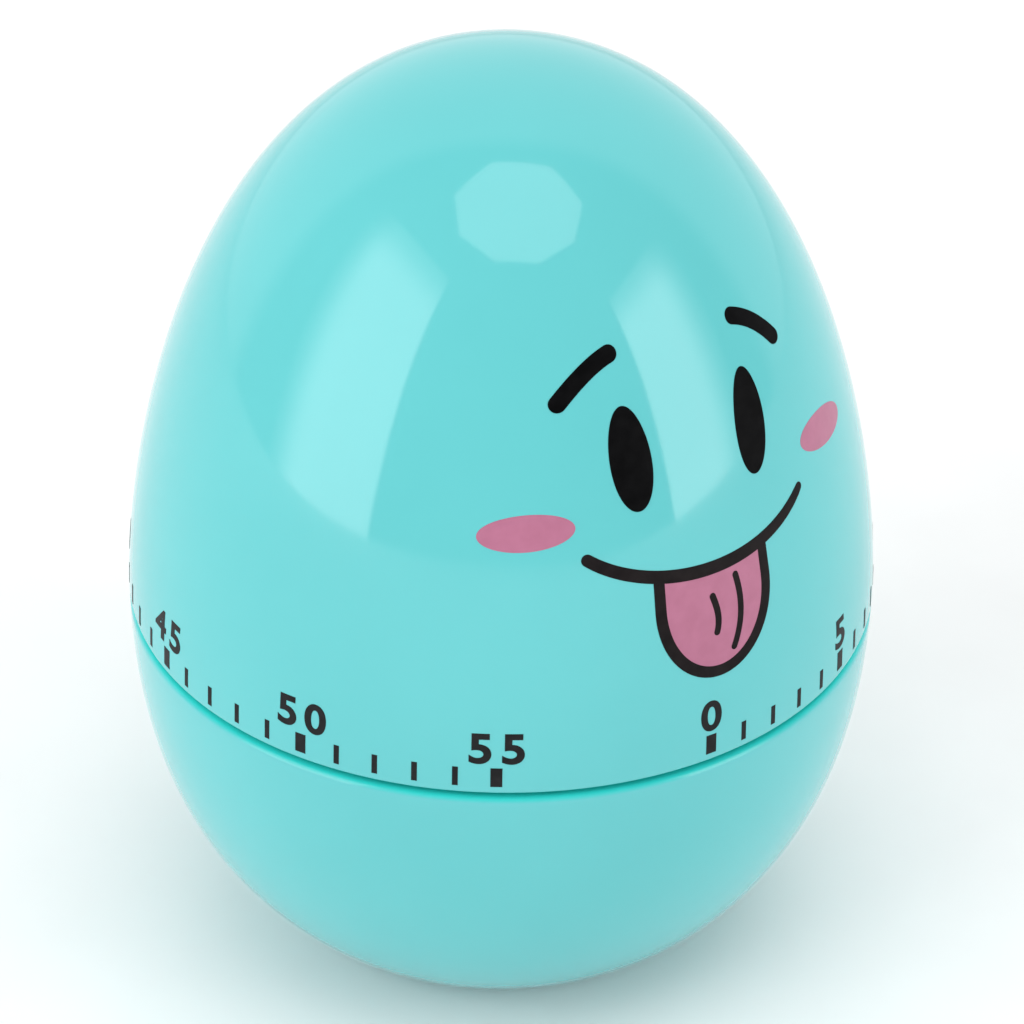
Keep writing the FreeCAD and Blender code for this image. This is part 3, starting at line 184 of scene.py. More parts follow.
def lathe(name, profile, around=AROUND):
    """A closed solid turned from a profile that starts and ends on the axis."""
    bm = bmesh.new()
    rings = []
    for radius, height in profile:
        if radius < ON_AXIS:
            rings.append([bm.verts.new((0, 0, height * MM))])
            continue
        ring = []
        for step in range(around):
            angle = math.tau * step / around
            spot = (radius * MM * math.cos(angle), radius * MM * math.sin(angle), height * MM)
            ring.append(bm.verts.new(spot))
        rings.append(ring)
    for low, high in zip(rings, rings[1:]):
        for step in range(around):
            after = (step + 1) % around
            places = ((low, step), (low, after), (high, after), (high, step))
            corners = [ring[place % len(ring)] for ring, place in places]
            bm.faces.new(list(dict.fromkeys(corners)))
    bmesh.ops.recalc_face_normals(bm, faces=bm.faces)
    mesh = bpy.data.meshes.new(name)
    bm.to_mesh(mesh)
    bm.free()
    return new_object(name, mesh)


def cylinders(spots, radius, low, high, around=48):
    """Plain upright cylinders in one object, to join to a shell or to cut it with."""
    bm = bmesh.new()
    for x, y in spots:
        place = Matrix.Translation((x * MM, y * MM, (low + high) / 2 * MM))
        bmesh.ops.create_cone(
            bm, cap_ends=True, segments=around, radius1=radius * MM, radius2=radius * MM,
            depth=(high - low) * MM, matrix=place)
    mesh = bpy.data.meshes.new("tool")
    bm.to_mesh(mesh)
    bm.free()
    return new_object("tool", mesh)


def combine(target, tool, operation):
    """Joins the tool to the target, cuts it out, or keeps what they share, and removes the tool."""
    modifier = target.modifiers.new("combine", "BOOLEAN")
    modifier.operation = operation
    modifier.solver = "EXACT"
    modifier.object = tool
    evaluated = target.evaluated_get(bpy.context.evaluated_depsgraph_get())
    mesh = bpy.data.meshes.new_from_object(evaluated)
    target.modifiers.clear()
    target.data = mesh
    bpy.data.objects.remove(tool)
    return target


def on_ring(radius, count, first=0.0):
    """Evenly spaced points of a ring."""
    angles = [first + math.tau * step / count for step in range(count)]
    return [(radius * math.cos(angle), radius * math.sin(angle)) for angle in angles]


def smooth(obj, crease=35):
    """Smooth shading with real creases kept sharp."""
    obj.data.shade_smooth()
    obj.data.set_sharp_from_angle(angle=math.radians(crease))
    return obj


# ---------------------------------------------------------------- shells
def build_dome():
    """The upper shell, turned from its own curves, with the drive plate's bosses inside."""
    side_foot = (EGG_RADIUS, DOME_RIM)
    rim = rounded_corner((EGG_RADIUS, EGG_SHOULDER), side_foot, (0, DOME_RIM), DOME_RIM_ROUNDING)
    side = [p for p in bezier(DOME_CURVE, ALONG) if p[1] > DOME_RIM + DOME_RIM_ROUNDING]
    profile = [(0, EGG_HEIGHT)] + side[-2::-1] + rim + bezier(DOME_INNER_CURVE, ALONG)
    shell = lathe("dome", profile)

    middle = bezier(middle_curve(DOME_CURVE, DOME_INNER_CURVE), ALONG)
    spots = on_ring(BOSS_RING, SCREWS_ON_RING, BOSS_TURN)
    bosses = cylinders(spots, BOSS_RADIUS, BOSS_BOTTOM, EGG_HEIGHT)
    combine(bosses, lathe("tool", [(0, DOME_RIM)] + middle), "INTERSECT")
    combine(shell, bosses, "UNION")
    bottom, top = BOSS_BOTTOM - CUT_EXCESS, BOSS_BOTTOM + BOSS_PILOT_DEPTH
    combine(shell, cylinders(spots, PILOT_RADIUS, bottom, top, PILOT_SIDES), "DIFFERENCE")
    return smooth(shell)


def build_base():
    """The lower shell: foot ring, sound holes, belly, rim, turning lip and posts."""
    curve = bezier(BASE_CURVE, ALONG)
    foot = rounded_corner((0, 0), curve[0], curve[3], FOOT_ROUNDING)
    belly = [p for p in curve if foot[-1][1] < p[1] < BASE_RIM - BASE_RIM_ROUNDING]
    rim = rounded_corner((EGG_RADIUS, 0), (EGG_RADIUS, BASE_RIM), (0, BASE_RIM), BASE_RIM_ROUNDING)
    lip = [
        (LIP_OUTER_RADIUS, BASE_RIM),
        (LIP_OUTER_RADIUS, LIP_TOP),
        (LIP_INNER_RADIUS, LIP_TOP),
        (LIP_INNER_RADIUS, LIP_FOOT),
        LIP_CHAMFER_END,
    ]
    inside = [p for p in bezier(BASE_INNER_CURVE, ALONG) if p[1] < LIP_CHAMFER_END[1]]
    profile = [(0, FOOT_RECESS), (FOOT_RING_RADIUS, FOOT_RECESS), (FOOT_RING_RADIUS, 0)]
    profile += foot + belly + rim + lip + inside[::-1] + [(0, FLOOR_TOP)]
    shell = lathe("base", profile)

    middle = bezier(middle_curve(BASE_CURVE, BASE_INNER_CURVE), ALONG)
    solid = [(0, middle[0][1])] + middle + [(0, BASE_RIM)]
    spots = on_ring(POST_RING, SCREWS_ON_RING, BASE_TURN)
    posts = cylinders(spots, POST_RADIUS, 0, POST_TOP)
    combine(posts, lathe("tool", solid), "INTERSECT")
    combine(shell, posts, "UNION")
    bottom, top = POST_TOP - POST_PILOT_DEPTH, POST_TOP + CUT_EXCESS
    combine(shell, cylinders(spots, PILOT_RADIUS, bottom, top, PILOT_SIDES), "DIFFERENCE")
    holes = [spot for ring, count in SOUND_HOLE_RINGS for spot in on_ring(ring, count, BASE_TURN)]
    bottom, top = -CUT_EXCESS, FLOOR_TOP + CUT_EXCESS
    combine(shell, cylinders(holes, SOUND_HOLE_RADIUS, bottom, top), "DIFFERENCE")
    return smooth(shell)


# ---------------------------------------------------------------- printing on a shell
DOME_SIDE = bezier(DOME_CURVE, SIDE_STEPS)
BASE_SIDE = bezier(BASE_CURVE, SIDE_STEPS)


def side_at(side, height):
    """Radius of a shell at a height, and how far its surface leans up there."""
    heights = [p[1] for p in side]
    index = min(max(bisect_left(heights, height), 1), len(side) - 1)
    (r0, z0), (r1, z1) = side[index - 1], side[index]
    share = (height - z0) / (z1 - z0)
    return r0 + (r1 - r0) * share, math.atan2(r0 - r1, z1 - z0)


def on_shell(side, angle, height, proud):
    """The point at an angle and a height on a shell, standing a little proud of it."""
    radius, lean = side_at(side, height)
    out = radius + proud * math.cos(lean)
    return Vector((out * math.cos(angle), out * math.sin(angle), height + proud * math.sin(lean))) * MM


def inside(spot, loops):
    """Whether a spot lies in the filled part of closed loops."""
    crossings = 0
    for loop in loops:
        for (x0, y0), (x1, y1) in zip(loop, loop[1:] + loop[:1]):
            between = (y0 > spot[1]) != (y1 > spot[1])
            if between and spot[0] < x0 + (spot[1] - y0) / (y1 - y0) * (x1 - x0):
                crossings += 1
    return crossings % 2 == 1


def fill(loops, pitch):
    """Fills closed loops with triangles, holes left open. A grid of points between lets them bend."""
    points, edges = [], []
    for loop in loops:
        first = len(points)
        points += [Vector(p) for p in loop]
        edges += [(first + i, first + (i + 1) % len(loop)) for i in range(len(loop))]
    low = [min(p[axis] for p in points) for axis in (0, 1)]
    high = [max(p[axis] for p in points) for axis in (0, 1)]
    outline = list(points)
    rows = int((high[1] - low[1]) / pitch) + 1
    columns = int((high[0] - low[0]) / pitch) + 1
    for row in range(rows):
        for column in range(columns):
            spot = Vector((low[0] + (column + 0.5 * (row % 2)) * pitch, low[1] + (row + 0.5) * pitch))
            clear = min((spot - p).length_squared for p in outline) > (GRID_CLEARANCE * pitch) ** 2
            if clear and inside(spot, loops):
                points.append(spot)
    flat, _, triangles, *_ = delaunay_2d_cdt(points, edges, [], 1, FILL_PRECISION)
    kept = []
    for corners in triangles:
        middle = sum((flat[c] for c in corners), Vector((0, 0))) / len(corners)
        if inside(middle, loops):
            kept.append(corners)
    return flat, kept


def printed(name, shapes, side, centre, material, body):
    """One ink layer. A shape is (loops, level, angle): mm about the angle, at true width at the level."""
    bm = bmesh.new()
    for loops, level, angle in shapes:
        flat, triangles = fill(loops, INK_PITCH)
        radius = side_at(side, SEAM + level)[0]
        skins = []
        for proud in (INK_PROUD[material.name], -INK_SUNK):
            spots = [on_shell(side, centre + angle + p[0] / radius, SEAM + p[1], proud) for p in flat]
            skins.append([bm.verts.new(spot) for spot in spots])
        used = {}
        for a, b, c in triangles:
            bm.faces.new((skins[0][a], skins[0][b], skins[0][c]))
            bm.faces.new((skins[1][c], skins[1][b], skins[1][a]))
            for edge in ((a, b), (b, c), (c, a)):
                used[edge] = used.get(edge, 0) + 1
        for a, b in used:
            if (b, a) not in used:
                bm.faces.new((skins[0][b], skins[0][a], skins[1][a], skins[1][b]))
    bmesh.ops.delete(bm, geom=[v for v in bm.verts if not v.link_faces], context="VERTS")
    bmesh.ops.recalc_face_normals(bm, faces=bm.faces)
    mesh = bpy.data.meshes.new(name)
    bm.to_mesh(mesh)
    bm.free()
    obj = smooth(new_object(name, mesh))
    obj.data.materials.append(material)
    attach(obj, body)


def oval(x, y, half_width, half_height, lean, count=96):
    """An oval about x, y, its top leaning to the left."""
    turn = Matrix.Rotation(lean, 2)
    angles = [math.tau * i / count for i in range(count)]
    points = [turn @ Vector((half_width * math.cos(t), half_height * math.sin(t))) for t in angles]
    return [(x + p.x, y + p.y) for p in points]


def stroke(curve, thickness, ends=None):
    """The outline of a round-ended brush stroke along a curve, thickest in its middle."""
    line = [Vector(p) for p in bezier(curve, STROKE_STEPS)]
    first, last = ends or (thickness, thickness)
    left, right = [], []
    for index, spot in enumerate(line):
        share = index / (len(line) - 1)
        plain = first + (last - first) * share
        half = (plain + (thickness - plain) * math.sin(math.pi * share) ** STROKE_SWELL) / 2
        ahead = line[min(index + 1, len(line) - 1)] - line[max(index - 1, 0)]
        across = Vector((-ahead.y, ahead.x)).normalized()
        left.append(spot + across * half)
        right.append(spot - across * half)
    loop = left
    for end, sign in ((line[-1], 1), (line[0], -1)):
        start = (left[-1] if sign > 0 else right[0]) - end
        for step in range(1, STROKE_END_STEPS):
            turn = -math.pi * step / STROKE_END_STEPS
            loop = loop + [end + Matrix.Rotation(turn, 2) @ start]
        if sign > 0:
            loop = loop + right[::-1]
    return [tuple(p) for p in loop]


def glyph(character):
    """The closed outlines of one digit in Blender's own font, centred, as high as a printed digit."""
    curve = bpy.data.curves.new("glyph", "FONT")
    curve.body = character
    curve.offset = DIGIT_BOLDNESS
    text = new_object("glyph", curve)
    mesh = bpy.data.meshes.new_from_object(text.evaluated_get(bpy.context.evaluated_depsgraph_get()))
    bm = bmesh.new()
    bm.from_mesh(mesh)
    bmesh.ops.remove_doubles(bm, verts=bm.verts, dist=GLYPH_WELD)
    border = dict.fromkeys(e for e in bm.edges if len(e.link_faces) == 1)
    loops = []
    while border:
        edge, _ = border.popitem()
        loop = [edge.verts[0], edge.verts[1]]
        while True:
            following = [e for e in loop[-1].link_edges if e in border]
            if not following:
                break
            del border[following[0]]
            loop.append(following[0].other_vert(loop[-1]))
        loops.append([v.co.xy.copy() for v in loop[:-1]])
    bm.free()
    bpy.data.objects.remove(text)
    spots = [p for loop in loops for p in loop]
    low = [min(p[axis] for p in spots) for axis in (0, 1)]
    high = [max(p[axis] for p in spots) for axis in (0, 1)]
    scale = DIGIT_HEIGHT / (high[1] - low[1])
    middle = (low[0] + high[0]) / 2
    across = scale * DIGIT_STRETCH
    return [[((p[0] - middle) * across, (p[1] - low[1]) * scale) for p in loop] for loop in loops]


# ---------------------------------------------------------------- materials
METAL = 1.0
# The plastic near the seam: its painted shade colour, a deeper teal that stands in for the groove's shade
# and for light coming through the walls, its gloss, the mm over which they fade, and how far below the
# seam their middle lies.
SEAM_SHADE_TEAL, SEAM_SPECULAR = (0.028, 0.59, 0.555), 0.05
SEAM_SHADE_FADE, SEAM_SHADE_DROP = (0.27, 0.57), 0.1
# Sockets of a colour mix, which share their names with those of its other kinds.
MIX_FIRST, MIX_SECOND, MIX_RESULT = 6, 7, 2


def new_material(name):
    """A material with its nodes, its links and its main shader."""
    material = bpy.data.materials.new(name)
    material.use_nodes = True
    nodes = material.node_tree.nodes
    return material, nodes, material.node_tree.links, nodes["Principled BSDF"]


def noise(nodes, links, scale, detail=3.0, stretch=(1, 1, 1)):
    """Noise in object space. Scale counts features in a metre."""
    coordinates = nodes.new("ShaderNodeTexCoord")
    mapping = nodes.new("ShaderNodeMapping")
    mapping.inputs["Scale"].default_value = stretch
    texture = nodes.new("ShaderNodeTexNoise")
    texture.inputs["Scale"].default_value = scale
    texture.inputs["Detail"].default_value = detail
    links.new(coordinates.outputs["Object"], mapping.inputs["Vector"])
    links.new(mapping.outputs["Vector"], texture.inputs["Vector"])
    return texture


def map_range(nodes, links, source, start, end, first, last, blend="LINEAR"):
    """A value that runs from first to last while the source runs from start to end."""
    node = nodes.new("ShaderNodeMapRange")
    node.interpolation_type = blend
    for socket, value in zip(("From Min", "From Max", "To Min", "To Max"), (start, end, first, last)):
        node.inputs[socket].default_value = value
    links.new(source, node.inputs["Value"])
    return node.outputs["Result"]


def ramp(nodes, links, source, low, high, start=0.35, end=0.65):
    """A colour that runs from low to high with the noise."""
    node = nodes.new("ShaderNodeValToRGB")
    node.color_ramp.elements[0].position = start
    node.color_ramp.elements[1].position = end
    node.color_ramp.elements[0].color = (*low, 1)
    node.color_ramp.elements[1].color = (*high, 1)
    links.new(source.outputs["Fac"], node.inputs["Fac"])
    return node


def surface(name, low, high, roughness, metallic=0.0, colour_scale=60, grain_scale=900,
            stretch=(1, 1, 1), bump=0.02, bump_depth=0.00002, specular=0.5):
    """A surface with a faint drift of colour, uneven gloss and a fine relief."""
    material, nodes, links, shader = new_material(name)
    drift = noise(nodes, links, colour_scale)
    links.new(ramp(nodes, links, drift, low, high).outputs["Color"], shader.inputs["Base Color"])
    grain = noise(nodes, links, grain_scale, 2.0, stretch)
    links.new(map_range(nodes, links, grain.outputs["Fac"], 0, 1, *roughness), shader.inputs["Roughness"])
    relief = nodes.new("ShaderNodeBump")
    relief.inputs["Strength"].default_value = bump
    relief.inputs["Distance"].default_value = bump_depth
    links.new(grain.outputs["Fac"], relief.inputs["Height"])
    links.new(relief.outputs["Normal"], shader.inputs["Normal"])
    shader.inputs["Metallic"].default_value = metallic
    shader.inputs["Specular IOR Level"].default_value = specular
    return material


MATERIALS = {
    "turquoise_plastic": surface(
        "turquoise_plastic", (0.106, 0.505, 0.520), (0.113, 0.522, 0.537), (0.05, 0.09),
        colour_scale=45, grain_scale=140, bump=0.05, bump_depth=0.00006),
    "white_plastic": surface(
        "white_plastic", (0.72, 0.72, 0.69), (0.78, 0.78, 0.75), (0.35, 0.5),
        grain_scale=700, bump=0.15),
    "zinc_steel": surface(
        "zinc_steel", (0.42, 0.43, 0.45), (0.56, 0.57, 0.58), (0.28, 0.42), METAL,
        colour_scale=300, grain_scale=500, stretch=(6, 1, 1), bump=0.2),
    "bright_steel": surface(
        "bright_steel", (0.52, 0.53, 0.54), (0.62, 0.63, 0.64), (0.16, 0.28), METAL,
        colour_scale=200, grain_scale=1500, stretch=(1, 1, 8), bump=0.15),
    "spring_steel": surface(
        "spring_steel", (0.13, 0.15, 0.21), (0.2, 0.22, 0.27), (0.22, 0.36), METAL,
        colour_scale=250, grain_scale=900, stretch=(1, 1, 4), bump=0.15),
    "wheel_brass": surface(
        "wheel_brass", (0.62, 0.42, 0.14), (0.74, 0.52, 0.2), (0.2, 0.34), METAL,
        colour_scale=220, grain_scale=1100, stretch=(3, 1, 1), bump=0.2),
    "bell_steel": surface(
        "bell_steel", (0.55, 0.56, 0.57), (0.64, 0.65, 0.66), (0.06, 0.14), METAL,
        colour_scale=120, grain_scale=600, bump=0.1),
}


def ink(name, low, high, roughness, colour_scale, specular):
    """Matt printing ink."""
    return surface(
        name, low, high, roughness, colour_scale=colour_scale, grain_scale=1200, specular=specular)


INK_BLACK = ink("ink_black", (0.0022, 0.0022, 0.0025), (0.0042, 0.0042, 0.0046), (0.35, 0.45), 900, 0.03)
INK_OUTLINE = ink(
    "ink_outline", (0.0105, 0.0085, 0.0090), (0.0155, 0.0125, 0.0130), (0.35, 0.45), 900, 0.04)
INK_GREY = ink("ink_grey", (0.012, 0.012, 0.013), (0.018, 0.018, 0.019), (0.35, 0.45), 900, 0.08)
INK_PINK = ink("ink_pink", (0.40, 0.138, 0.225), (0.43, 0.152, 0.245), (0.3, 0.4), 700, 0.3)


def deepen_seam(material, colour, specular):
    """Paints shade into a plastic's colour beside the seam: a deeper teal that stands in for the groove's
    shade and for light arriving through the walls. It also dulls the gloss there.
    """
    nodes, links = material.node_tree.nodes, material.node_tree.links
    shader = nodes["Principled BSDF"]
    coordinates = nodes.new("ShaderNodeTexCoord")
    parts = nodes.new("ShaderNodeSeparateXYZ")
    links.new(coordinates.outputs["Object"], parts.inputs["Vector"])
    offset = nodes.new("ShaderNodeMath")
    offset.operation = "SUBTRACT"
    offset.inputs[1].default_value = (SEAM - SEAM_SHADE_DROP) * MM
    links.new(parts.outputs["Z"], offset.inputs[0])
    distance = nodes.new("ShaderNodeMath")
    distance.operation = "ABSOLUTE"
    links.new(offset.outputs["Value"], distance.inputs[0])

    def faded(near, far):
        """A value that runs from near the seam to the plain plastic."""
        start, end = (reach * MM for reach in SEAM_SHADE_FADE)
        return map_range(nodes, links, distance.outputs["Value"], start, end, near, far)

    plain_colour = shader.inputs["Base Color"].links[0].from_socket
    # The mix lays the painted shade colour over the plain plastic near the seam.
    mix = nodes.new("ShaderNodeMix")
    mix.data_type = "RGBA"
    mix.inputs[MIX_SECOND].default_value = (*colour, 1)
    links.new(faded(1.0, 0.0), mix.inputs["Factor"])
    links.new(plain_colour, mix.inputs[MIX_FIRST])
    links.new(mix.outputs[MIX_RESULT], shader.inputs["Base Color"])
    gloss = shader.inputs["Specular IOR Level"]
    links.new(faded(specular, gloss.default_value), gloss)


# The turquoise gets painted shade and painted through-the-wall light beside the seam.
deepen_seam(MATERIALS["turquoise_plastic"], SEAM_SHADE_TEAL, SEAM_SPECULAR)


# ---------------------------------------------------------------- the shells and their print
dome = build_dome()
dome.data.materials.clear()
dome.data.materials.append(MATERIALS["turquoise_plastic"])
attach(dome, "dial")
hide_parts("dome_shell")

base = build_base()
base.data.materials.clear()
base.data.materials.append(MATERIALS["turquoise_plastic"])
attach(base, "case")
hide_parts("base_shell")


def tick(width):
    """The loops of one tick: a single upright bar."""
    half = width / 2
    return [[(-half, TICK_LOW), (half, TICK_LOW), (half, TICK_HIGH), (-half, TICK_HIGH)]]


ticks, digits = [], []
glyphs = {character: glyph(character) for character in "0123456789"}
for minute in range(LAST_MINUTE + 1):
    turn = minute * MINUTE
    major = minute % MAJOR_STEP == 0
    ticks.append((tick(MAJOR_TICK_WIDTH if major else TICK_WIDTH), TICK_LOW, turn))
    if not major:
        continue
    label = str(minute)
    for place, character in enumerate(label):
        shift = (place - (len(label) - 1) / 2) * DIGIT_SPACING
        loops = [[(x + shift, y + DIGIT_LOW) for x, y in loop] for loop in glyphs[character]]
        digits.append((loops, DIGIT_LOW + DIGIT_HEIGHT / 2, turn))
printed("scale_ticks", ticks, DOME_SIDE, ZERO_TICK, INK_GREY, "dial")
printed("scale_digits", digits, DOME_SIDE, ZERO_TICK, INK_GREY, "dial")


def degrees_across(points, level):
    """Points given in degrees round the dome and mm above the seam, in mm at that level."""
    radius = side_at(DOME_SIDE, SEAM + level)[0]
    return [(math.radians(x) * radius, y) for x, y in points]


def face_piece(name, outlines, level, material):
    """One printed piece of the face, made of closed outlines."""
    shapes = [([outline], level, 0.0) for outline in outlines]
    printed(name, shapes, DOME_SIDE, FACE_CENTRE, material, "dial")


EYE_LEVEL, CHEEK_LEVEL, BROW_LEVEL, MOUTH_LEVEL, TONGUE_LEVEL = 25.7, 21.3, 31.4, 17.3, 13.0
# Each eye and cheek: degrees across, level, half width in degrees, half height, lean in degrees.
EYES = [(-12.5, 25.7, 3.78, 3.72, 4.0), (12.45, 25.5, 3.5, 3.8, -9.5)]
CHEEKS = [(-30.65, 21.3, 7.9, 1.34, 4.0), (31.4, 21.2, 7.9, 1.36, -6.0)]
BROWS = [
    [(-24.8, 30.05), (-21.2, 31.45), (-17.6, 32.4), (-13.9, 32.85)],
    [(16.2, 32.5), (20.0, 32.0), (22.9, 31.05), (25.3, 29.65)],
]
MOUTH = [(-21.1, 19.05), (-10.5, 15.6), (9.5, 15.4), (20.5, 18.85)]
BROW_THICKNESS, MOUTH_THICKNESS, MOUTH_ENDS = 1.33, 1.05, (0.95, 0.74)


def leaned_oval(middle, level, half_width, half_height, lean):
    """An oval on the dome, its place and width given in degrees round it."""
    degree = math.radians(side_at(DOME_SIDE, SEAM + level)[0])
    return oval(middle * degree, level, half_width * degree, half_height, math.radians(lean))


def face_stroke(points, level, thickness, ends=None):
    """A stroke that is as thick up the dome's slope as along it. Points are degrees across and levels."""
    slope = math.cos(side_at(DOME_SIDE, SEAM + level)[1])
    flat = [(x, y / slope) for x, y in degrees_across(points, level)]
    return [(x, y * slope) for x, y in stroke(flat, thickness, ends)]


face_piece("face_eyes", [leaned_oval(*eye) for eye in EYES], EYE_LEVEL, INK_BLACK)
face_piece("face_cheeks", [leaned_oval(*cheek) for cheek in CHEEKS], CHEEK_LEVEL, INK_PINK)
brows = [face_stroke(points, BROW_LEVEL, BROW_THICKNESS) for points in BROWS]
face_piece("face_brows", brows, BROW_LEVEL, INK_BLACK)
mouth = face_stroke(MOUTH, MOUTH_LEVEL, MOUTH_THICKNESS, MOUTH_ENDS)
face_piece("face_mouth", [mouth], MOUTH_LEVEL, INK_OUTLINE)

TONGUE_HALF_WIDTH, TONGUE_TOP, TONGUE_BEND, TONGUE_DROP = 5.33, 16.6, 14.2, 6.68
TONGUE_LINE, TONGUE_TOP_INSET, TONGUE_STEPS = 0.92, 0.04, 64
FOLD_THICKNESS = 0.55
FOLDS = [
    [(-0.38, 14.15), (-0.02, 13.05), (0.16, 12.2), (-0.2, 11.2)],
    [(1.9, 15.15), (2.35, 13.2), (2.25, 11.4), (1.27, 9.5)],
]


def tongue_outline(inset):
    """The tongue's U shape, drawn that far inside its outer edge."""
    half = TONGUE_HALF_WIDTH - inset
    drop = TONGUE_DROP - inset
    angles = [math.pi * step / TONGUE_STEPS for step in range(TONGUE_STEPS + 1)]
    curve = [(half * math.cos(angle), TONGUE_BEND - drop * math.sin(angle)) for angle in angles]
    top = TONGUE_TOP - TONGUE_TOP_INSET * inset
    return [(half, top)] + curve + [(-half, top)]


face_piece("face_tongue", [tongue_outline(TONGUE_LINE)], TONGUE_LEVEL, INK_PINK)
rim_outer, rim_inner = tongue_outline(0), tongue_outline(TONGUE_LINE)
face_piece("face_tongue_rim", [rim_outer + rim_inner[::-1]], TONGUE_LEVEL, INK_OUTLINE)
folds = [stroke(fold, FOLD_THICKNESS) for fold in FOLDS]
face_piece("face_tongue_folds", folds, TONGUE_LEVEL, INK_OUTLINE)

index = [[(-INDEX_WIDTH / 2, INDEX_LOW), (INDEX_WIDTH / 2, INDEX_LOW), (0, INDEX_HIGH)]]
index_angle = ZERO_TICK + INDEX_MINUTE * MINUTE
printed("index_mark", [(index, INDEX_LOW, 0.0)], BASE_SIDE, index_angle, INK_GREY, "case")


# ---------------------------------------------------------------- the pieces inside
for part in frame["record"]["subparts"]:
    node = frame["nodes"][part["node"]]
    node.data.materials.clear()
    node.data.materials.append(MATERIALS[part["material_slot"]])


# ---------------------------------------------------------------- floor, lights and camera
CAMERA_TURN, CAMERA_RISE = math.radians(-34.5), math.radians(34.09)
CAMERA_ROLL, CAMERA_DISTANCE = 0.0159, 0.3328
CAMERA_SHIFT = (0.01072, 0.05927)
# The lens as the photo's width against it: its focal length is that many times the sensor's width.
SENSOR_WIDTH, FOCAL_WIDTHS = 36, 4105.5 / 1024
AIM = Vector((0, 0, SEAM * MM))
FLOOR_REACH = 1.0
RADIANCE = {"room": 0.52, "backdrop": 1.15, "left_box": 3.25, "right_box": 3.5, "overhead": 2.6}
# How nearly a direction faces the camera's side (1 does) where the room goes over into the backdrop.
BACKDROP_EDGE = (-0.32, -0.18)
PANEL_DISTANCE = 1.2
# A panel's strength at its outer edge and in full, and where its top fade runs and between what.
PANEL_SIDE_FADE = (0.1, 1.0)
PANEL_TOP_FADE = (1.0, 0.78, 0.25, 1.0)
OVERHEAD_TURN, OVERHEAD_RISE, OVERHEAD_DISTANCE = math.radians(16), math.radians(73.8), 1.25
OVERHEAD_RADIUS, OVERHEAD_SIDES, OVERHEAD_SCALE = 0.50, 8, (1.04, 0.92, 1)


def direction(turn, rise):
    """Unit vector from the object, turned from the camera's own side and raised above the floor."""
    turn += CAMERA_TURN
    return Vector((math.sin(turn) * math.cos(rise), -math.cos(turn) * math.cos(rise), math.sin(rise)))


def flat_sheet(name, corners, material):
    """A level polygon, lit but no piece of the object."""
    mesh = bpy.data.meshes.new(name)
    mesh.from_pydata([(x, y, 0) for x, y in corners], [], [range(len(corners))])
    mesh.materials.append(material)
    sheet = new_object(name, mesh)
    return sheet


def panel(name, turn, rise, width, height, outer_edge, full_from):
    """A soft light panel. It fades from full_from to outer_edge, shares of its width, and to its top."""
    light = bpy.data.lights.new(name, "AREA")
    light.shape = "RECTANGLE"
    light.size = width
    light.size_y = height
    light.energy = RADIANCE[name] * math.pi * width * height
    light.use_nodes = True
    nodes, links = light.node_tree.nodes, light.node_tree.links
    geometry = nodes.new("ShaderNodeNewGeometry")
    place = nodes.new("ShaderNodeSeparateXYZ")
    links.new(geometry.outputs["Parametric"], place.inputs["Vector"])
    product = nodes.new("ShaderNodeMath")
    product.operation = "MULTIPLY"
    fades = (("X", (outer_edge, full_from, *PANEL_SIDE_FADE)), ("Y", PANEL_TOP_FADE))
    for (axis, ends), factor in zip(fades, product.inputs):
        links.new(map_range(nodes, links, place.outputs[axis], *ends, "SMOOTHSTEP"), factor)
    links.new(product.outputs["Value"], nodes["Emission"].inputs["Strength"])
    lamp = new_object(name, light)
    away = direction(math.radians(turn), math.radians(rise))
    lamp.location = AIM + away * PANEL_DISTANCE
    lamp.rotation_euler = away.to_track_quat("Z", "Y").to_euler()
    lamp.visible_camera = False


paper = surface("floor_paper", (0.86, 0.86, 0.86), (0.88, 0.88, 0.88), (0.8, 0.9), grain_scale=40)
corners = [(-FLOOR_REACH, -FLOOR_REACH), (FLOOR_REACH, -FLOOR_REACH), (FLOOR_REACH, FLOOR_REACH),
           (-FLOOR_REACH, FLOOR_REACH)]
floor = flat_sheet("floor", corners, paper)
floor.location.z = cad_low.z

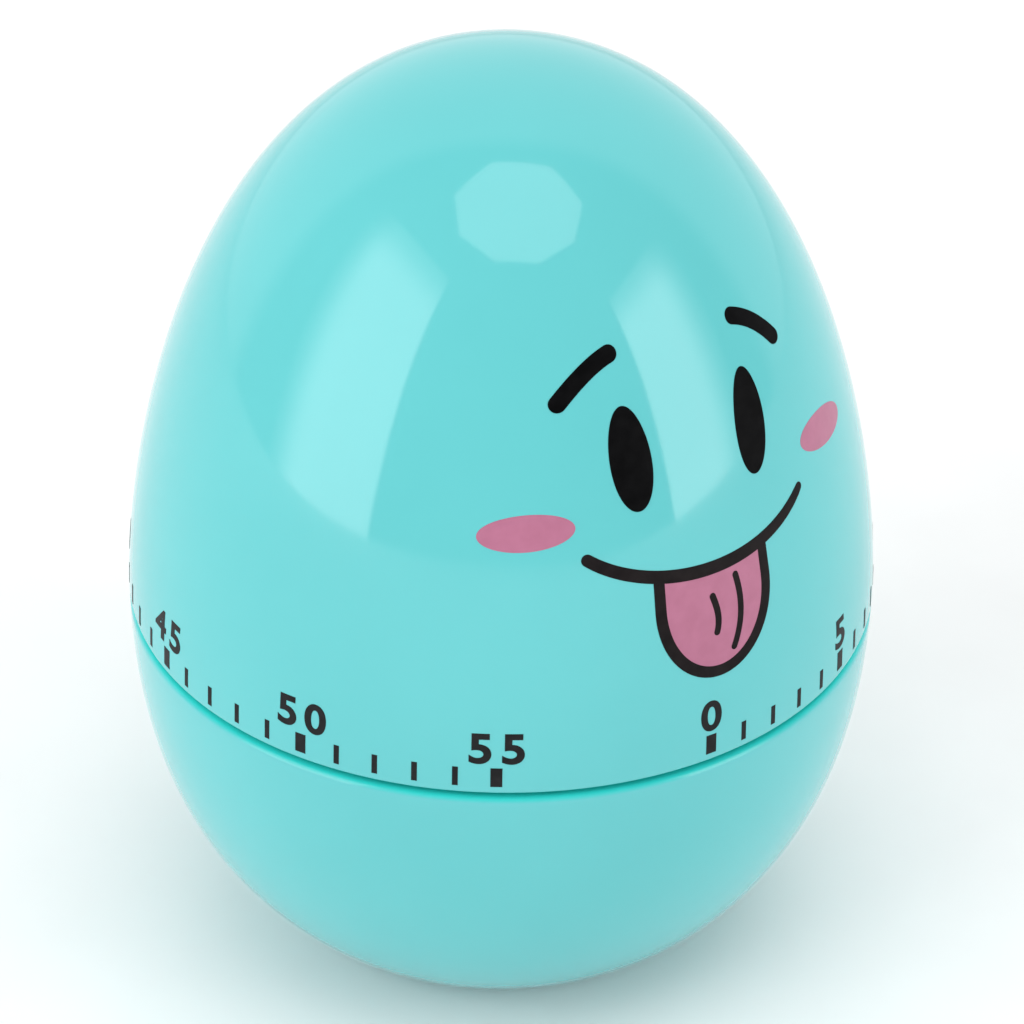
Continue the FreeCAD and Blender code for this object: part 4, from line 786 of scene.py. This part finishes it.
panel("left_box", turn=-59.9, rise=23.5, width=0.92, height=1.34, outer_edge=0.0, full_from=0.34)
panel("right_box", turn=69.3, rise=18, width=0.70, height=1.00, outer_edge=1.0, full_from=0.55)

glow, nodes, links, _ = new_material("softbox_glow")
emission = nodes.new("ShaderNodeEmission")
emission.inputs["Strength"].default_value = RADIANCE["overhead"]
links.new(emission.outputs["Emission"], nodes["Material Output"].inputs["Surface"])
corners = on_ring(OVERHEAD_RADIUS, OVERHEAD_SIDES, math.pi / OVERHEAD_SIDES)
overhead = flat_sheet("overhead", corners, glow)
overhead.location = AIM + direction(OVERHEAD_TURN, OVERHEAD_RISE) * OVERHEAD_DISTANCE
overhead.rotation_euler.z = CAMERA_TURN
overhead.scale = OVERHEAD_SCALE
overhead.visible_camera = False

world = bpy.data.worlds.new("studio")
world.use_nodes = True
nodes, links = world.node_tree.nodes, world.node_tree.links
coordinates = nodes.new("ShaderNodeTexCoord")
facing = nodes.new("ShaderNodeVectorMath")
facing.operation = "DOT_PRODUCT"
facing.inputs[1].default_value = direction(0, 0)
links.new(coordinates.outputs["Generated"], facing.inputs[0])
strength = map_range(
    nodes, links, facing.outputs["Value"], *BACKDROP_EDGE, RADIANCE["backdrop"], RADIANCE["room"])
links.new(strength, nodes["Background"].inputs["Strength"])
nodes["Background"].inputs["Color"].default_value = (1, 1, 1, 1)
bpy.context.scene.world = world
bpy.context.scene.view_settings.view_transform = "Standard"

camera_data = bpy.data.cameras.new("camera")
camera_data.sensor_width = SENSOR_WIDTH
camera_data.lens = FOCAL_WIDTHS * SENSOR_WIDTH
camera_data.shift_x, camera_data.shift_y = CAMERA_SHIFT
camera_data.dof.use_dof = False
camera = new_object("camera", camera_data)
toward = direction(0, CAMERA_RISE)
camera.location = AIM + toward * CAMERA_DISTANCE
roll = Matrix.Rotation(CAMERA_ROLL, 4, "Z").to_quaternion()
camera.rotation_mode = "QUATERNION"
camera.rotation_quaternion = (-toward).to_track_quat("-Z", "Y") @ roll
bpy.context.scene.camera = camera
